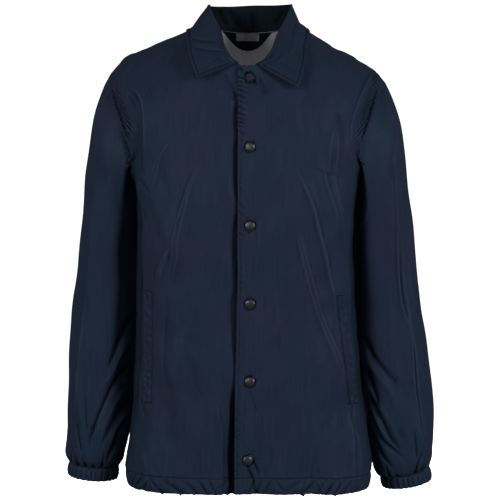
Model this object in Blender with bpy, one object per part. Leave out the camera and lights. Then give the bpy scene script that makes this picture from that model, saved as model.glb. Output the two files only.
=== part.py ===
# A windbreaker of the coach-jacket cut, filled out as it is worn, with nobody in it.
# +Z is up, the front faces -Y, the wearer's right side is -X; lengths are in metres.
# The origin lies midway between the two high shoulder points, where the wearer carries it.
import math

import bmesh
import bpy
import numpy as np
from mathutils import Matrix, Vector
from mathutils.bvhtree import BVHTree

# Cloth walls and seams
CLOTH = 0.0012
COLLAR_CLOTH = 0.0014
CASING_CLOTH = 0.0018
TRIM_CLOTH = 0.0010
SEAM_GAP = 0.0004
ARMHOLE_GAP = 0.0006
SIDES = {"right": -1.0, "left": 1.0}

# Body: heights of the main levels and depths of the armhole
HEM_SEAM = -0.722
HEM_HEIGHT = 0.027
UNDERARM = -0.298
CHEST = -0.215
ARMHOLE_FRONT = 0.090
ARMHOLE_BACK = 0.096
EDGE_PULL = 4

# Front closure: the over front laps past the middle, the under front sinks behind it
LAP = 0.020
UNDERLAP_DEPTH = 0.0056
UNDERLAP_FLAT = 0.022
UNDERLAP_END = 0.060

# Neck and shoulders
NECK_HALF = 0.075
NECK_FRONT = 0.095
NECK_DROP = 0.079
NECK_BACK = 0.062
NECK_BACK_DROP = 0.012
NECK_CURVE = 1.35
SHOULDER = {
    "right": {"reach": 0.231, "back": 0.012, "slope": 0.41, "fall": 0.088},
    "left": {"reach": 0.212, "back": 0.012, "slope": 0.575, "fall": 0.086},
}
SHOULDER_ROUND = 8
SHOULDER_SAG = 0.0045

# Torso sections from hem to chest; square is the power of the rounded-square outline
TORSO_COLUMNS = ("height", "right", "left", "front", "back", "square")
TORSO_SECTIONS = (
    (-0.755, 0.206, 0.200, 0.131, 0.121, 3.3),
    (-0.690, 0.200, 0.196, 0.134, 0.120, 3.0),
    (-0.620, 0.193, 0.188, 0.136, 0.117, 2.7),
    (-0.540, 0.188, 0.178, 0.137, 0.114, 2.8),
    (-0.455, 0.186, 0.173, 0.138, 0.113, 2.8),
    (-0.370, 0.185, 0.173, 0.139, 0.118, 2.9),
    (-0.298, 0.187, 0.175, 0.138, 0.125, 3.0),
    (-0.215, 0.207, 0.190, 0.131, 0.126, 3.2),
)

# Sleeve sections: where the inner and outer lines run, and how deep the tube is
SLEEVE_COLUMNS = ("along", "inner_x", "inner_z", "outer_x", "outer_z", "middle_y", "depth", "square")
SLEEVE_SECTIONS = {
    "right": (
        (0.07, 0.1900, -0.320, 0.2505, -0.134, 0.012, 0.085, 2.2),
        (0.18, 0.1895, -0.354, 0.2662, -0.212, 0.020, 0.081, 2.2),
        (0.31, 0.1885, -0.405, 0.2765, -0.300, 0.028, 0.078, 2.3),
        (0.47, 0.1890, -0.473, 0.2880, -0.412, 0.034, 0.076, 2.3),
        (0.62, 0.1910, -0.551, 0.2977, -0.514, 0.036, 0.075, 2.3),
        (0.78, 0.1965, -0.629, 0.3047, -0.609, 0.036, 0.075, 2.3),
        (0.90, 0.2040, -0.693, 0.3080, -0.684, 0.032, 0.072, 2.3),
        (0.96, 0.2115, -0.720, 0.3075, -0.715, 0.028, 0.062, 2.2),
        (1.00, 0.2219, -0.7400, 0.3038, -0.7315, 0.026, 0.044, 2.0),
    ),
    "left": (
        (0.07, 0.1790, -0.320, 0.2370, -0.134, 0.012, 0.085, 2.2),
        (0.18, 0.1770, -0.354, 0.2540, -0.212, 0.020, 0.081, 2.2),
        (0.31, 0.1755, -0.405, 0.2640, -0.300, 0.028, 0.078, 2.3),
        (0.47, 0.1765, -0.475, 0.2785, -0.414, 0.034, 0.076, 2.3),
        (0.62, 0.1815, -0.553, 0.2925, -0.518, 0.036, 0.075, 2.3),
        (0.78, 0.1915, -0.637, 0.3048, -0.615, 0.036, 0.075, 2.3),
        (0.90, 0.2020, -0.706, 0.3080, -0.693, 0.032, 0.072, 2.3),
        (0.96, 0.2095, -0.735, 0.3050, -0.724, 0.028, 0.062, 2.2),
        (1.00, 0.2203, -0.7545, 0.3015, -0.7400, 0.026, 0.044, 2.0),
    ),
}
CUFF_HEIGHT = 0.020
CUFF_WAVES = 18
CUFF_WAVE_HEIGHT = 0.0016
SLEEVE_GATHERS = 8
SLEEVE_GATHER_HEIGHT = 0.0035
SLEEVE_GATHER_START = 0.86

# Hem casing waves over the whole way round
HEM_WAVES_FRONT = 11
HEM_WAVES_BACK = 22
HEM_WAVE_HEIGHT = 0.0024
HEM_WAVE_POINTS = 4
HEM_TAPER = 0.003

# Largest folds; x runs from the middle front towards the side, a minus height is a trough
FOLD_COLUMNS = ("from_x", "from_z", "to_x", "to_z", "width", "height")
FRONT_FOLDS = {
    "right": (
        (0.073, -0.231, 0.100, -0.292, 0.012, 0.0035),
        (0.092, -0.272, 0.140, -0.408, 0.012, 0.0050),
        (0.118, -0.300, 0.150, -0.390, 0.009, -0.0030),
        (0.034, -0.615, 0.036, -0.705, 0.012, -0.0100),
        (0.036, -0.150, 0.034, -0.205, 0.013, -0.0045),
    ),
    "left": (
        (0.072, -0.240, 0.138, -0.500, 0.012, 0.0050),
        (0.096, -0.270, 0.146, -0.440, 0.011, -0.0030),
        (0.108, -0.160, 0.146, -0.225, 0.012, 0.0035),
        (0.158, -0.625, 0.168, -0.690, 0.011, 0.0040),
    ),
}
BACK_FOLDS = (
    (0.070, -0.250, 0.135, -0.420, 0.015, 0.0050),
    (0.035, -0.330, 0.060, -0.560, 0.016, 0.0040),
    (-0.070, -0.240, -0.130, -0.440, 0.015, 0.0050),
    (-0.040, -0.380, -0.075, -0.590, 0.016, 0.0040),
)
# On a sleeve x is the way round from the underarm by the front, z the way down, both as lengths
SLEEVE_GIRTH = 0.41
SLEEVE_LENGTH = 0.64
SLEEVE_FOLDS = {
    "right": (
        (0.030, 0.330, 0.110, 0.440, 0.012, 0.0045),
        (0.030, 0.400, 0.120, 0.530, 0.012, 0.0060),
        (0.040, 0.480, 0.110, 0.590, 0.011, 0.0050),
        (0.300, 0.260, 0.370, 0.360, 0.014, 0.0050),
        (0.290, 0.400, 0.360, 0.500, 0.014, 0.0045),
    ),
    "left": (
        (0.030, 0.340, 0.115, 0.450, 0.012, 0.0050),
        (0.030, 0.420, 0.120, 0.550, 0.012, 0.0060),
        (0.045, 0.500, 0.115, 0.600, 0.011, 0.0045),
        (0.290, 0.280, 0.365, 0.380, 0.014, 0.0050),
        (0.300, 0.420, 0.370, 0.510, 0.014, 0.0045),
    ),
}

# Collar: where its ends stop, its stand, and the run of its outer edge
COLLAR_END = {"right": 0.018, "left": 0.008}
COLLAR_ROLL = 0.0028
COLLAR_BULGE = 0.0015
COLLAR_CLEAR = 0.0048
STAND_COLUMNS = ("share", "height", "lean")
STAND_SECTIONS = (
    (0.00, 0.006, 0.000),
    (0.12, 0.022, 0.009),
    (0.20, 0.027, 0.010),
    (0.29, 0.028, 0.009),
    (0.40, 0.036, 0.006),
    (0.50, 0.040, 0.003),
    (0.60, 0.036, 0.006),
    (0.71, 0.028, 0.009),
    (0.80, 0.027, 0.010),
    (0.88, 0.022, 0.009),
    (1.00, 0.006, 0.000),
)
EDGE_COLUMNS = ("share", "x", "y", "z")
EDGE_SECTIONS = (
    (0.00, -0.082, -0.126, -0.101),
    (0.10, -0.095, -0.102, -0.064),
    (0.20, -0.101, -0.048, -0.030),
    (0.29, -0.098, 0.012, -0.018),
    (0.38, -0.078, 0.070, -0.028),
    (0.50, 0.000, 0.100, -0.042),
    (0.62, 0.075, 0.070, -0.030),
    (0.71, 0.088, 0.012, -0.020),
    (0.80, 0.090, -0.050, -0.036),
    (0.90, 0.086, -0.104, -0.076),
    (1.00, 0.075, -0.127, -0.116),
)

# Pocket welts, seen from the front
WELT_COLUMNS = ("top_inner", "top_outer", "top", "bottom_inner", "bottom_outer", "bottom")
WELTS = {
    "right": (0.1530, 0.1680, -0.432, 0.1560, 0.1705, -0.612),
    "left": (0.1350, 0.1490, -0.438, 0.1590, 0.1730, -0.616),
}
WELT_CLEAR = 0.0012

# Inside the back neck
FACING_HALF = 0.042
FACING_DROP = 0.030
FACING_START = 0.002
LABEL_HALF = 0.0195
LABEL_DROP = 0.0125

# Snaps down the middle front
SNAP_FIRST = -0.097
SNAP_SECOND = -0.207
SNAP_PITCH = 0.1215
SNAP_COUNT = 6
CAP_RADIUS = 0.0076
CAP_HEIGHT = 0.0026
STUD_RADIUS = 0.0055
CAP_SEGMENTS = 16

# Grid counts; the sleeve has one column for each armhole row
FRONT_COLUMNS = 16
FRONT_NECK_COLUMN = 7
BACK_HALF_COLUMNS = 11
BACK_NECK_COLUMN = 4
LOWER_ROWS = 13
SWING_ROWS = 6
RISE_ROWS = 10
SLEEVE_ROWS = 17
COLLAR_COLUMNS = 33
FINE = 240


def clear_scene():
    for thing in list(bpy.data.objects):
        bpy.data.objects.remove(thing, do_unlink=True)


def finish(name, colour, roughness, metallic):
    made = bpy.data.materials.new(name)
    made.use_nodes = True
    shader = made.node_tree.nodes["Principled BSDF"]
    shader.inputs["Base Color"].default_value = (*colour, 1.0)
    shader.inputs["Roughness"].default_value = roughness
    shader.inputs["Metallic"].default_value = metallic
    return made


def named(columns, rows):
    return dict(zip(columns, np.array(rows, float).T))


def through(knots, rows, at):
    # A smooth curve through table rows, with the slope at a row taken from its neighbours.
    rows = np.asarray(rows, float)
    at = np.asarray(at, float)
    slopes = np.gradient(rows, knots, axis=0)
    left = np.clip(np.searchsorted(knots, at, side="right") - 1, 0, len(knots) - 2)
    span = knots[left + 1] - knots[left]
    part = (at - knots[left]) / span
    shape = part.shape + (1,) * (rows.ndim - 1)
    part = part.reshape(shape)
    span = span.reshape(shape)
    start = rows[left] * (1 + 2 * part) * (1 - part) ** 2
    leave = slopes[left] * span * part * (1 - part) ** 2
    stop = rows[left + 1] * part ** 2 * (3 - 2 * part)
    arrive = slopes[left + 1] * span * part ** 2 * (part - 1)
    return start + leave + stop + arrive


def evenly(points, count):
    # The same line with its points at equal distances.
    steps = np.linalg.norm(np.diff(points, axis=0), axis=1)
    length = np.concatenate([[0.0], np.cumsum(steps)])
    at = np.linspace(0.0, length[-1], count)
    return np.stack([np.interp(at, length, points[:, axis]) for axis in range(points.shape[1])], axis=1)


def ease(value, low, high):
    part = np.clip((value - low) / (high - low), 0.0, 1.0)
    return part * part * (3 - 2 * part)


def folds(table, x, z):
    raised = np.zeros_like(x)
    for from_x, from_z, to_x, to_z, width, height in table:
        run_x = to_x - from_x
        run_z = to_z - from_z
        share = ((x - from_x) * run_x + (z - from_z) * run_z) / (run_x ** 2 + run_z ** 2)
        share = np.clip(share, 0.0, 1.0)
        away = np.hypot(x - from_x - share * run_x, z - from_z - share * run_z)
        raised += height * np.exp(-(away / width) ** 2)
    return raised


def normals_of(grid, outward, closed=False):
    if closed:
        around = np.roll(grid, -1, axis=1) - np.roll(grid, 1, axis=1)
    else:
        around = np.gradient(grid, axis=1)
    along = np.gradient(grid, axis=0)
    normal = np.cross(around, along) * outward
    return normal / np.maximum(np.linalg.norm(normal, axis=2, keepdims=True), 1e-9)


def unit(vectors):
    return vectors / np.maximum(np.linalg.norm(vectors, axis=-1, keepdims=True), 1e-9)


def quarter(half, depth, square, start, end_depth, count):
    # One quarter of a rounded-square section, from past the middle round to a given depth.
    first = -math.asin((abs(start) / half) ** (square / 2))
    last = math.acos(min(1.0, (end_depth / depth) ** (square / 2)))
    turn = np.linspace(first, last, FINE)
    x = half * np.sign(turn) * np.abs(np.sin(turn)) ** (2 / square)
    y = depth * np.abs(np.cos(turn)) ** (2 / square)
    return evenly(np.stack([x, y], axis=1), count)


def body_rows(reach):
    # For each row below the chest line: height in the panel, height and depth at its edge.
    lower = [(height, height, 0.0) for height in np.linspace(HEM_SEAM, UNDERARM, LOWER_ROWS)]
    rise = CHEST - UNDERARM
    swung = []
    for step in range(1, SWING_ROWS + 1):
        swing = math.pi / 2 * step / SWING_ROWS
        level = UNDERARM + rise * step / SWING_ROWS
        swung.append((level, CHEST - rise * math.cos(swing), reach * math.sin(swing)))
    return lower + swung


def body_row(side, face, height, past, end_depth, columns):
    torso = named(TORSO_COLUMNS, TORSO_SECTIONS)
    at = np.array([height])
    half, depth, square = (float(through(torso["height"], torso[name], at)[0])
                           for name in (side, "front" if face < 0 else "back", "square"))
    flat = quarter(half, depth, square, past, end_depth, columns + 1)
    return np.stack([flat[:, 0], face * flat[:, 1], np.full(columns + 1, height)], axis=1)


def neck_and_shoulder(side, neck_depth, neck_drop, past, columns, neck_column):
    # The top edge of half a panel: round the neck, then out along the shoulder seam.
    turn = np.linspace(0.0, math.pi / 2, FINE)
    neck = np.stack([NECK_HALF * np.sin(turn), neck_depth * np.cos(turn),
                     -neck_drop * np.cos(turn) ** NECK_CURVE], axis=1)
    if past > 0.0:
        neck = np.concatenate([[[-past, neck_depth, -neck_drop]], neck])
    neck = evenly(neck, neck_column + 1)
    size = SHOULDER[side]
    run = size["reach"] - NECK_HALF
    share = np.linspace(0.0, 1.0, columns - neck_column + 1)[1:]
    rounding = size["fall"] - size["slope"] * run
    sag = SHOULDER_SAG * np.sin(math.pi * np.sqrt(share))
    drop = size["slope"] * run * share + rounding * share ** SHOULDER_ROUND + sag
    seam = np.stack([NECK_HALF + run * share, np.zeros_like(share), -drop], axis=1)
    return neck, seam, size["back"] * share


def half_panel(side, face, past, columns, neck_column):
    # Half a body panel as rows of points: x away from the middle, y, z.
    reach = ARMHOLE_FRONT if face < 0 else ARMHOLE_BACK
    neck_depth = NECK_FRONT if face < 0 else NECK_BACK
    neck_drop = NECK_DROP if face < 0 else NECK_BACK_DROP
    share = np.linspace(0.0, 1.0, columns + 1)
    rows = []
    for level, edge_level, end_depth in body_rows(reach):
        inside = body_row(side, face, level, past, end_depth, columns)
        edge = body_row(side, face, edge_level, past, end_depth, columns)
        rows.append(inside + (edge - inside) * (share ** EDGE_PULL)[:, None])
    neck, seam, seam_back = neck_and_shoulder(side, neck_depth, neck_drop, past, columns, neck_column)
    neck[:, 1] *= face
    seam[:, 1] = seam_back
    top = np.concatenate([neck, seam])
    chest = rows[-1]
    neckward = np.clip(1.0 - (share * columns / neck_column) ** 1.5, 0.0, 1.0)
    for angle in np.linspace(0.0, math.pi / 2, RISE_ROWS + 1)[1:]:
        rise = math.sin(angle)
        over = (1 - neckward) * (1 - math.sqrt(max(0.0, 1 - rise * rise))) + neckward * rise ** 1.5
        row = chest + (top - chest) * rise
        row[:, 1] = chest[:, 1] + (top[:, 1] - chest[:, 1]) * over
        rows.append(row)
    return np.array(rows)


def front_grid(side):
    grid = half_panel(side, -1.0, LAP, FRONT_COLUMNS, FRONT_NECK_COLUMN)
    if side == "right":
        sunk = 1.0 - ease(grid[:, :, 0], UNDERLAP_FLAT, UNDERLAP_END)
        grid[:, :, 1] += UNDERLAP_DEPTH * sunk
    x = grid[:, :, 0].copy()
    grid[:, :, 0] *= SIDES[side]
    normal = normals_of(grid, SIDES[side])
    raised = folds(FRONT_FOLDS[side], x, grid[:, :, 2])
    raised[:, -1] = 0.0
    raised[-1] = 0.0
    return grid + normal * raised[:, :, None]


def back_grid():
    right = half_panel("right", 1.0, 0.0, BACK_HALF_COLUMNS, BACK_NECK_COLUMN)
    left = half_panel("left", 1.0, 0.0, BACK_HALF_COLUMNS, BACK_NECK_COLUMN)
    right[:, :, 0] *= -1.0
    grid = np.concatenate([right[:, :0:-1], left], axis=1)
    normal = normals_of(grid, -1.0)
    raised = folds(BACK_FOLDS, grid[:, :, 0], grid[:, :, 2])
    raised[:, [0, -1]] = 0.0
    raised[-1] = 0.0
    return grid + normal * raised[:, :, None]


def armhole_loop(front, back_edge):
    # From the underarm up the front, over the shoulder tip and down the back.
    first = LOWER_ROWS - 1
    up = front[first:, -1]
    down = back_edge[first:][::-1]
    return np.concatenate([up, down[1:-1]])


def sleeve_grid(side, loop):
    size = named(SLEEVE_COLUMNS, SLEEVE_SECTIONS[side])
    count = len(loop)
    turn = np.arange(count) / count * 2 * math.pi
    rings = [loop]
    for row in range(len(size["along"])):
        inner = np.array([size["inner_x"][row] * SIDES[side], size["middle_y"][row], size["inner_z"][row]])
        outer = np.array([size["outer_x"][row] * SIDES[side], size["middle_y"][row], size["outer_z"][row]])
        power = 2 / size["square"][row]
        across = -np.sign(np.cos(turn)) * np.abs(np.cos(turn)) ** power
        ahead = np.sign(np.sin(turn)) * np.abs(np.sin(turn)) ** power
        ring = (inner + outer) / 2 + across[:, None] * (outer - inner) / 2
        ring[:, 1] -= ahead * size["depth"][row]
        rings.append(ring)
    knots = np.concatenate([[0.0], size["along"]])
    at = np.concatenate([np.linspace(0.0, 0.9, SLEEVE_ROWS - 4), [0.93, 0.955, 0.98, 1.0]])
    grid = through(knots, np.array(rings), at)
    grid[0] = loop + ARMHOLE_GAP * unit(grid[1] - loop)
    normal = normals_of(grid, -SIDES[side], closed=True)
    round_way = np.arange(count) / count * SLEEVE_GIRTH
    x, z = np.meshgrid(round_way, at * SLEEVE_LENGTH)
    raised = folds(SLEEVE_FOLDS[side], x, z)
    gather = SLEEVE_GATHER_HEIGHT * ease(at, SLEEVE_GATHER_START, 0.975)
    raised += gather[:, None] * np.cos(turn * SLEEVE_GATHERS)[None, :]
    raised[[0, -1]] = 0.0
    return grid + normal * raised[:, :, None]


def cuff_grid(side):
    # The casing starts on the sleeve's last ring and keeps its middle line.
    size = named(SLEEVE_COLUMNS, SLEEVE_SECTIONS[side])
    inner = np.array([size["inner_x"][-1] * SIDES[side], size["middle_y"][-1], size["inner_z"][-1]])
    outer = np.array([size["outer_x"][-1] * SIDES[side], size["middle_y"][-1], size["outer_z"][-1]])
    across = outer - inner
    down = unit(np.array([-across[2], 0.0, across[0]]) * -SIDES[side])
    turn = np.linspace(0.0, 2 * math.pi, CUFF_WAVES * 4, endpoint=False)
    wave = CUFF_WAVE_HEIGHT * np.cos(turn * CUFF_WAVES)
    ring = (inner + outer) / 2 - np.cos(turn)[:, None] * across / 2
    ring[:, 1] -= np.sin(turn) * size["depth"][-1]
    away = unit(ring - (inner + outer) / 2)
    rings = []
    for drop in (SEAM_GAP, CUFF_HEIGHT / 2, CUFF_HEIGHT):
        rings.append(ring + down * drop + away * wave[:, None])
    return np.array(rings)


def hem_grid(edge, normal, waves, quiet_start, quiet_end):
    # A casing hung from a panel's lowest row, waved more and more towards its edge.
    spans = len(edge) - 1
    count = waves * HEM_WAVE_POINTS
    at = np.linspace(0.0, spans, count + 1)
    top = np.stack([np.interp(at, np.arange(spans + 1), edge[:, axis]) for axis in range(3)], axis=1)
    out = unit(np.stack([np.interp(at, np.arange(spans + 1), normal[:, axis]) for axis in range(3)], axis=1))
    share = np.linspace(0.0, 1.0, count + 1)
    calm = ease(share, 0.0, quiet_start) * ease(1.0 - share, 0.0, quiet_end)
    wave = HEM_WAVE_HEIGHT * np.cos(share * waves * 2 * math.pi) * calm
    rings = []
    for part, amount in ((0.0, 0.0), (0.5, 0.7), (1.0, 1.0)):
        ring = top + out * (wave * amount - HEM_TAPER * part)[:, None]
        ring[:, 2] -= SEAM_GAP + part * HEM_HEIGHT
        rings.append(ring)
    rings[2][:, 2] += 0.6 * wave
    return np.array(rings)


def neck_seam(fronts, back):
    # From the right collar end round the back neck to the left collar end.
    middle = BACK_HALF_COLUMNS
    behind = back[-1, middle - BACK_NECK_COLUMN:middle + BACK_NECK_COLUMN + 1]
    ahead = {}
    for side, grid in fronts.items():
        line = evenly(grid[-1, :FRONT_NECK_COLUMN + 1], FINE)
        ahead[side] = line[line[:, 0] * SIDES[side] >= COLLAR_END[side]]
    return evenly(np.concatenate([ahead["right"][:-1], behind, ahead["left"][::-1][1:]]), COLLAR_COLUMNS)


def collar_grid(seam, lean_on):
    share = np.linspace(0.0, 1.0, COLLAR_COLUMNS)
    stand = named(STAND_COLUMNS, STAND_SECTIONS)
    height = through(stand["share"], stand["height"], share)
    lean = through(stand["share"], stand["lean"], share)
    edge_table = named(EDGE_COLUMNS, EDGE_SECTIONS)
    places = np.stack([edge_table[name] for name in ("x", "y", "z")], axis=1)
    edge = through(edge_table["share"], places, share)
    base = seam + np.array([0.0, 0.0, SEAM_GAP])
    inward = -base * np.array([1.0, 1.0, 0.0])
    top = base + unit(inward) * lean[:, None]
    top[:, 2] += height
    outward = unit((edge - top) * np.array([1.0, 1.0, 0.0]))
    up = np.array([0.0, 0.0, 1.0])
    roll = np.minimum(COLLAR_ROLL, height * 0.45)[:, None]
    hinge = top - up * roll + outward * roll
    rows = [base, (base + hinge - outward * roll) / 2]
    for angle in np.radians((180, 135, 90, 45, 0)):
        rows.append(hinge + roll * (outward * math.cos(angle) + up * math.sin(angle)))
    start = rows[-1]
    for part in (0.2, 0.45, 0.72, 1.0):
        bulge = COLLAR_BULGE * math.sin(math.pi * part) * height / height.max()
        row = start + (edge - start) * part + (outward + up) * bulge[:, None]
        rows.append(rest_on(lean_on, row, COLLAR_CLEAR))
    return np.array(rows)


def rest_on(tree, points, clear):
    # Points that would come nearer than the clearance are moved straight out of the cloth.
    placed = []
    for point in points:
        spot, normal, _, _ = tree.find_nearest(Vector(point))
        gap = (Vector(point) - spot).dot(normal)
        placed.append(np.array(spot + normal * clear) if gap < clear else point)
    return np.array(placed)


def tree_of(grids_and_turns):
    points = []
    faces = []
    for grid, turned in grids_and_turns:
        rows, columns = grid.shape[:2]
        offset = len(points)
        points.extend(Vector(point) for point in grid.reshape(-1, 3))
        for row in range(rows - 1):
            for column in range(columns - 1):
                first = offset + row * columns + column
                quad = [first, first + 1, first + columns + 1, first + columns]
                faces.append(quad if turned > 0 else quad[::-1])
    return BVHTree.FromPolygons(points, faces)


def on_cloth(tree, x, z, towards):
    spot, normal, _, _ = tree.ray_cast(Vector((x, -towards, z)), Vector((0.0, towards, 0.0)))
    return spot, normal


def lay(tree, places, clear, towards):
    # Points seen along Y are dropped on the cloth and moved out of it.
    grid = []
    for line in places:
        row = []
        for x, z in line:
            spot, normal = on_cloth(tree, x, z, towards)
            row.append(np.array(spot + normal * clear))
        grid.append(row)
    return np.array(grid)


def welt_places(side):
    size = dict(zip(WELT_COLUMNS, WELTS[side]))
    places = []
    for down in np.linspace(0.0, 1.0, 8):
        inner = size["top_inner"] + (size["bottom_inner"] - size["top_inner"]) * down
        outer = size["top_outer"] + (size["bottom_outer"] - size["top_outer"]) * down
        z = size["top"] + (size["bottom"] - size["top"]) * down
        places.append([(SIDES[side] * x, z) for x in np.linspace(inner, outer, 4)])
    return places


def facing_places():
    places = []
    for down in np.linspace(0.0, 1.0, 5):
        line = []
        for across in np.linspace(-1.0, 1.0, 13):
            lift = math.sqrt(1.0 - (across * FACING_HALF / NECK_HALF) ** 2) ** NECK_CURVE
            top = -NECK_BACK_DROP * lift - FACING_START
            drop = FACING_DROP * math.sqrt(1.0 - 0.97 * across * across)
            line.append((across * FACING_HALF, top - drop * down))
        places.append(line)
    return places


def label_places():
    top = -NECK_BACK_DROP - FACING_START
    return [[(x, top - LABEL_DROP * down) for x in np.linspace(-LABEL_HALF, LABEL_HALF, 5)]
            for down in np.linspace(0.0, 1.0, 3)]


def wall(name, outer, normal, thick, look, closed=False):
    # A closed solid between a grid of points and the same grid moved in by the cloth's thickness.
    inner = outer - normal * thick
    rows, columns = outer.shape[:2]
    points = np.concatenate([outer.reshape(-1, 3), inner.reshape(-1, 3)])
    layer = rows * columns
    spans = columns if closed else columns - 1

    def spot(row, column, side):
        return side * layer + row * columns + column % columns

    faces = []
    for row in range(rows - 1):
        for column in range(spans):
            corners = [(row, column), (row, column + 1), (row + 1, column + 1), (row + 1, column)]
            places = [outer[r, c % columns] for r, c in corners]
            if np.linalg.norm(places[0] - places[2]) > np.linalg.norm(places[1] - places[3]):
                corners = corners[1:] + corners[:1]
            for side in (0, 1):
                ring = [spot(r, c, side) for r, c in corners]
                faces += [ring[:3], [ring[0], ring[2], ring[3]]]
    edges = [((row, column), (row, column + 1)) for row in (0, rows - 1) for column in range(spans)]
    if not closed:
        edges += [((row, column), (row + 1, column)) for column in (0, columns - 1) for row in range(rows - 1)]
    for start, stop in edges:
        rim = [spot(*start, 0), spot(*stop, 0), spot(*stop, 1), spot(*start, 1)]
        faces += [rim[:3], [rim[0], rim[2], rim[3]]]
    return solid(name, points, faces, look)


def solid(name, points, faces, look):
    mesh = bpy.data.meshes.new(name)
    mesh.from_pydata([tuple(point) for point in points], [], faces)
    made = bpy.data.objects.new(name, mesh)
    bpy.context.scene.collection.objects.link(made)
    bpy.context.view_layer.objects.active = made
    mesh.materials.append(look)
    outward_faces(made)
    mesh.shade_smooth()
    mesh.set_sharp_from_angle(angle=math.radians(60))
    return made


def outward_faces(made):
    work = bmesh.new()
    work.from_mesh(made.data)
    bmesh.ops.recalc_face_normals(work, faces=work.faces)
    work.to_mesh(made.data)
    work.free()


def turned(name, profile, spot, axis, look):
    # A profile of radius and height turned round an axis that starts on the cloth.
    points = []
    faces = []
    for radius, height in profile[1:-1]:
        for step in range(CAP_SEGMENTS):
            angle = 2 * math.pi * step / CAP_SEGMENTS
            points.append((radius * math.cos(angle), radius * math.sin(angle), height))
    rings = len(profile) - 2
    points += [(0.0, 0.0, profile[0][1]), (0.0, 0.0, profile[-1][1])]
    for step in range(CAP_SEGMENTS):
        after = (step + 1) % CAP_SEGMENTS
        faces.append([rings * CAP_SEGMENTS, step, after])
        last = (rings - 1) * CAP_SEGMENTS
        faces.append([rings * CAP_SEGMENTS + 1, last + after, last + step])
        for ring in range(rings - 1):
            base = ring * CAP_SEGMENTS
            faces.append([base + step, base + CAP_SEGMENTS + step, base + CAP_SEGMENTS + after, base + after])
    place = Matrix.Translation(spot) @ axis.to_track_quat("Z", "Y").to_matrix().to_4x4()
    return solid(name, [place @ Vector(point) for point in points], faces, look)


def share_normals(first, second, spare):
    # One direction for both sides of a seam, so that their walls end side by side.
    return unit(first + second + 0.4 * np.asarray(spare))


def join_panels(side, front, back, sleeve):
    # Side seam, armhole and shoulder seam: the walls on both sides get one direction.
    underarm = LOWER_ROWS - 1
    tip = SWING_ROWS + RISE_ROWS
    column = 0 if side == "right" else -1
    outward = (SIDES[side], 0.0, 0.0)
    seam = share_normals(front[:underarm, -1], back[:underarm, column], outward)
    loop = np.concatenate([front[underarm:, -1], back[underarm:, column][::-1][1:-1]])
    loop[0] = unit(front[underarm, -1] + back[underarm, column])
    loop[tip] = unit(front[-1, -1] + back[-1, column])
    armhole = share_normals(loop, sleeve[0], (0.0, 0.0, -1.0))
    sleeve[0] = armhole
    front[:underarm, -1] = seam
    back[:underarm, column] = seam
    front[-1, FRONT_NECK_COLUMN:-1] = (0.0, 0.0, 1.0)
    shoulder = slice(1, BACK_HALF_COLUMNS - BACK_NECK_COLUMN + 1)
    back[-1, shoulder if side == "right" else slice(-shoulder.stop, -1)] = (0.0, 0.0, 1.0)
    front[underarm:, -1] = armhole[:tip + 1]
    back[underarm:, column] = np.concatenate([armhole[:1], armhole[tip:][::-1]])


def part_seams(fronts, back):
    # Side and shoulder seams: each edge steps back by half the gap.
    step = SEAM_GAP / 2
    shoulder = BACK_HALF_COLUMNS - BACK_NECK_COLUMN + 1
    for grid in fronts.values():
        grid[:LOWER_ROWS, -1, 1] -= step
        grid[-1, FRONT_NECK_COLUMN:, 1] -= step
    back[:LOWER_ROWS, [0, -1], 1] += step
    back[-1, :shoulder, 1] += step
    back[-1, -shoulder:, 1] += step


clear_scene()
nylon = finish("navy_nylon", (0.016, 0.022, 0.040), 0.45, 0.0)
nylon_dark = finish("navy_nylon_facing", (0.006, 0.008, 0.012), 0.55, 0.0)
satin = finish("grey_satin_label", (0.060, 0.058, 0.060), 0.40, 0.0)
gunmetal = finish("gunmetal_snap", (0.080, 0.085, 0.100), 0.35, 1.0)

# Body panels and sleeves as points
fronts = {side: front_grid(side) for side in SIDES}
back = back_grid()
loops = {"right": armhole_loop(fronts["right"], back[:, 0])}
loops["left"] = armhole_loop(fronts["left"], back[:, -1])
sleeves = {side: sleeve_grid(side, loops[side]) for side in SIDES}
front_normals = {side: normals_of(fronts[side], SIDES[side]) for side in SIDES}
back_normals = normals_of(back, -1.0)
sleeve_normals = {side: normals_of(sleeves[side], -SIDES[side], closed=True) for side in SIDES}
for side in SIDES:
    join_panels(side, front_normals[side], back_normals, sleeve_normals[side])
part_seams(fronts, back)

# Body, sleeves and cuffs
for side in SIDES:
    wall("front_" + side, fronts[side], front_normals[side], CLOTH, nylon)
    wall("sleeve_" + side, sleeves[side], sleeve_normals[side], CLOTH, nylon, closed=True)
    cuff = cuff_grid(side)
    wall("cuff_" + side, cuff, normals_of(cuff, -SIDES[side], closed=True), CASING_CLOTH, nylon, closed=True)
wall("back", back, back_normals, CLOTH, nylon)

# Hem casings
hem_right = hem_grid(fronts["right"][0], front_normals["right"][0], HEM_WAVES_FRONT, 0.30, 0.06)
hem_left = hem_grid(fronts["left"][0], front_normals["left"][0], HEM_WAVES_FRONT, 0.22, 0.06)
hem_back = hem_grid(back[0], back_normals[0], HEM_WAVES_BACK, 0.03, 0.03)
wall("hem_front_right", hem_right, normals_of(hem_right, 1.0), CASING_CLOTH, nylon)
wall("hem_front_left", hem_left, normals_of(hem_left, -1.0), CASING_CLOTH, nylon)
wall("hem_back", hem_back, normals_of(hem_back, 1.0), CASING_CLOTH, nylon)

# Collar, resting on fronts and back
cloth_tree = tree_of([(fronts["right"], -1), (fronts["left"], 1), (back, -1)])
collar = collar_grid(neck_seam(fronts, back), cloth_tree)
wall("collar", collar, normals_of(collar, -1.0), COLLAR_CLOTH, nylon)

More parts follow.
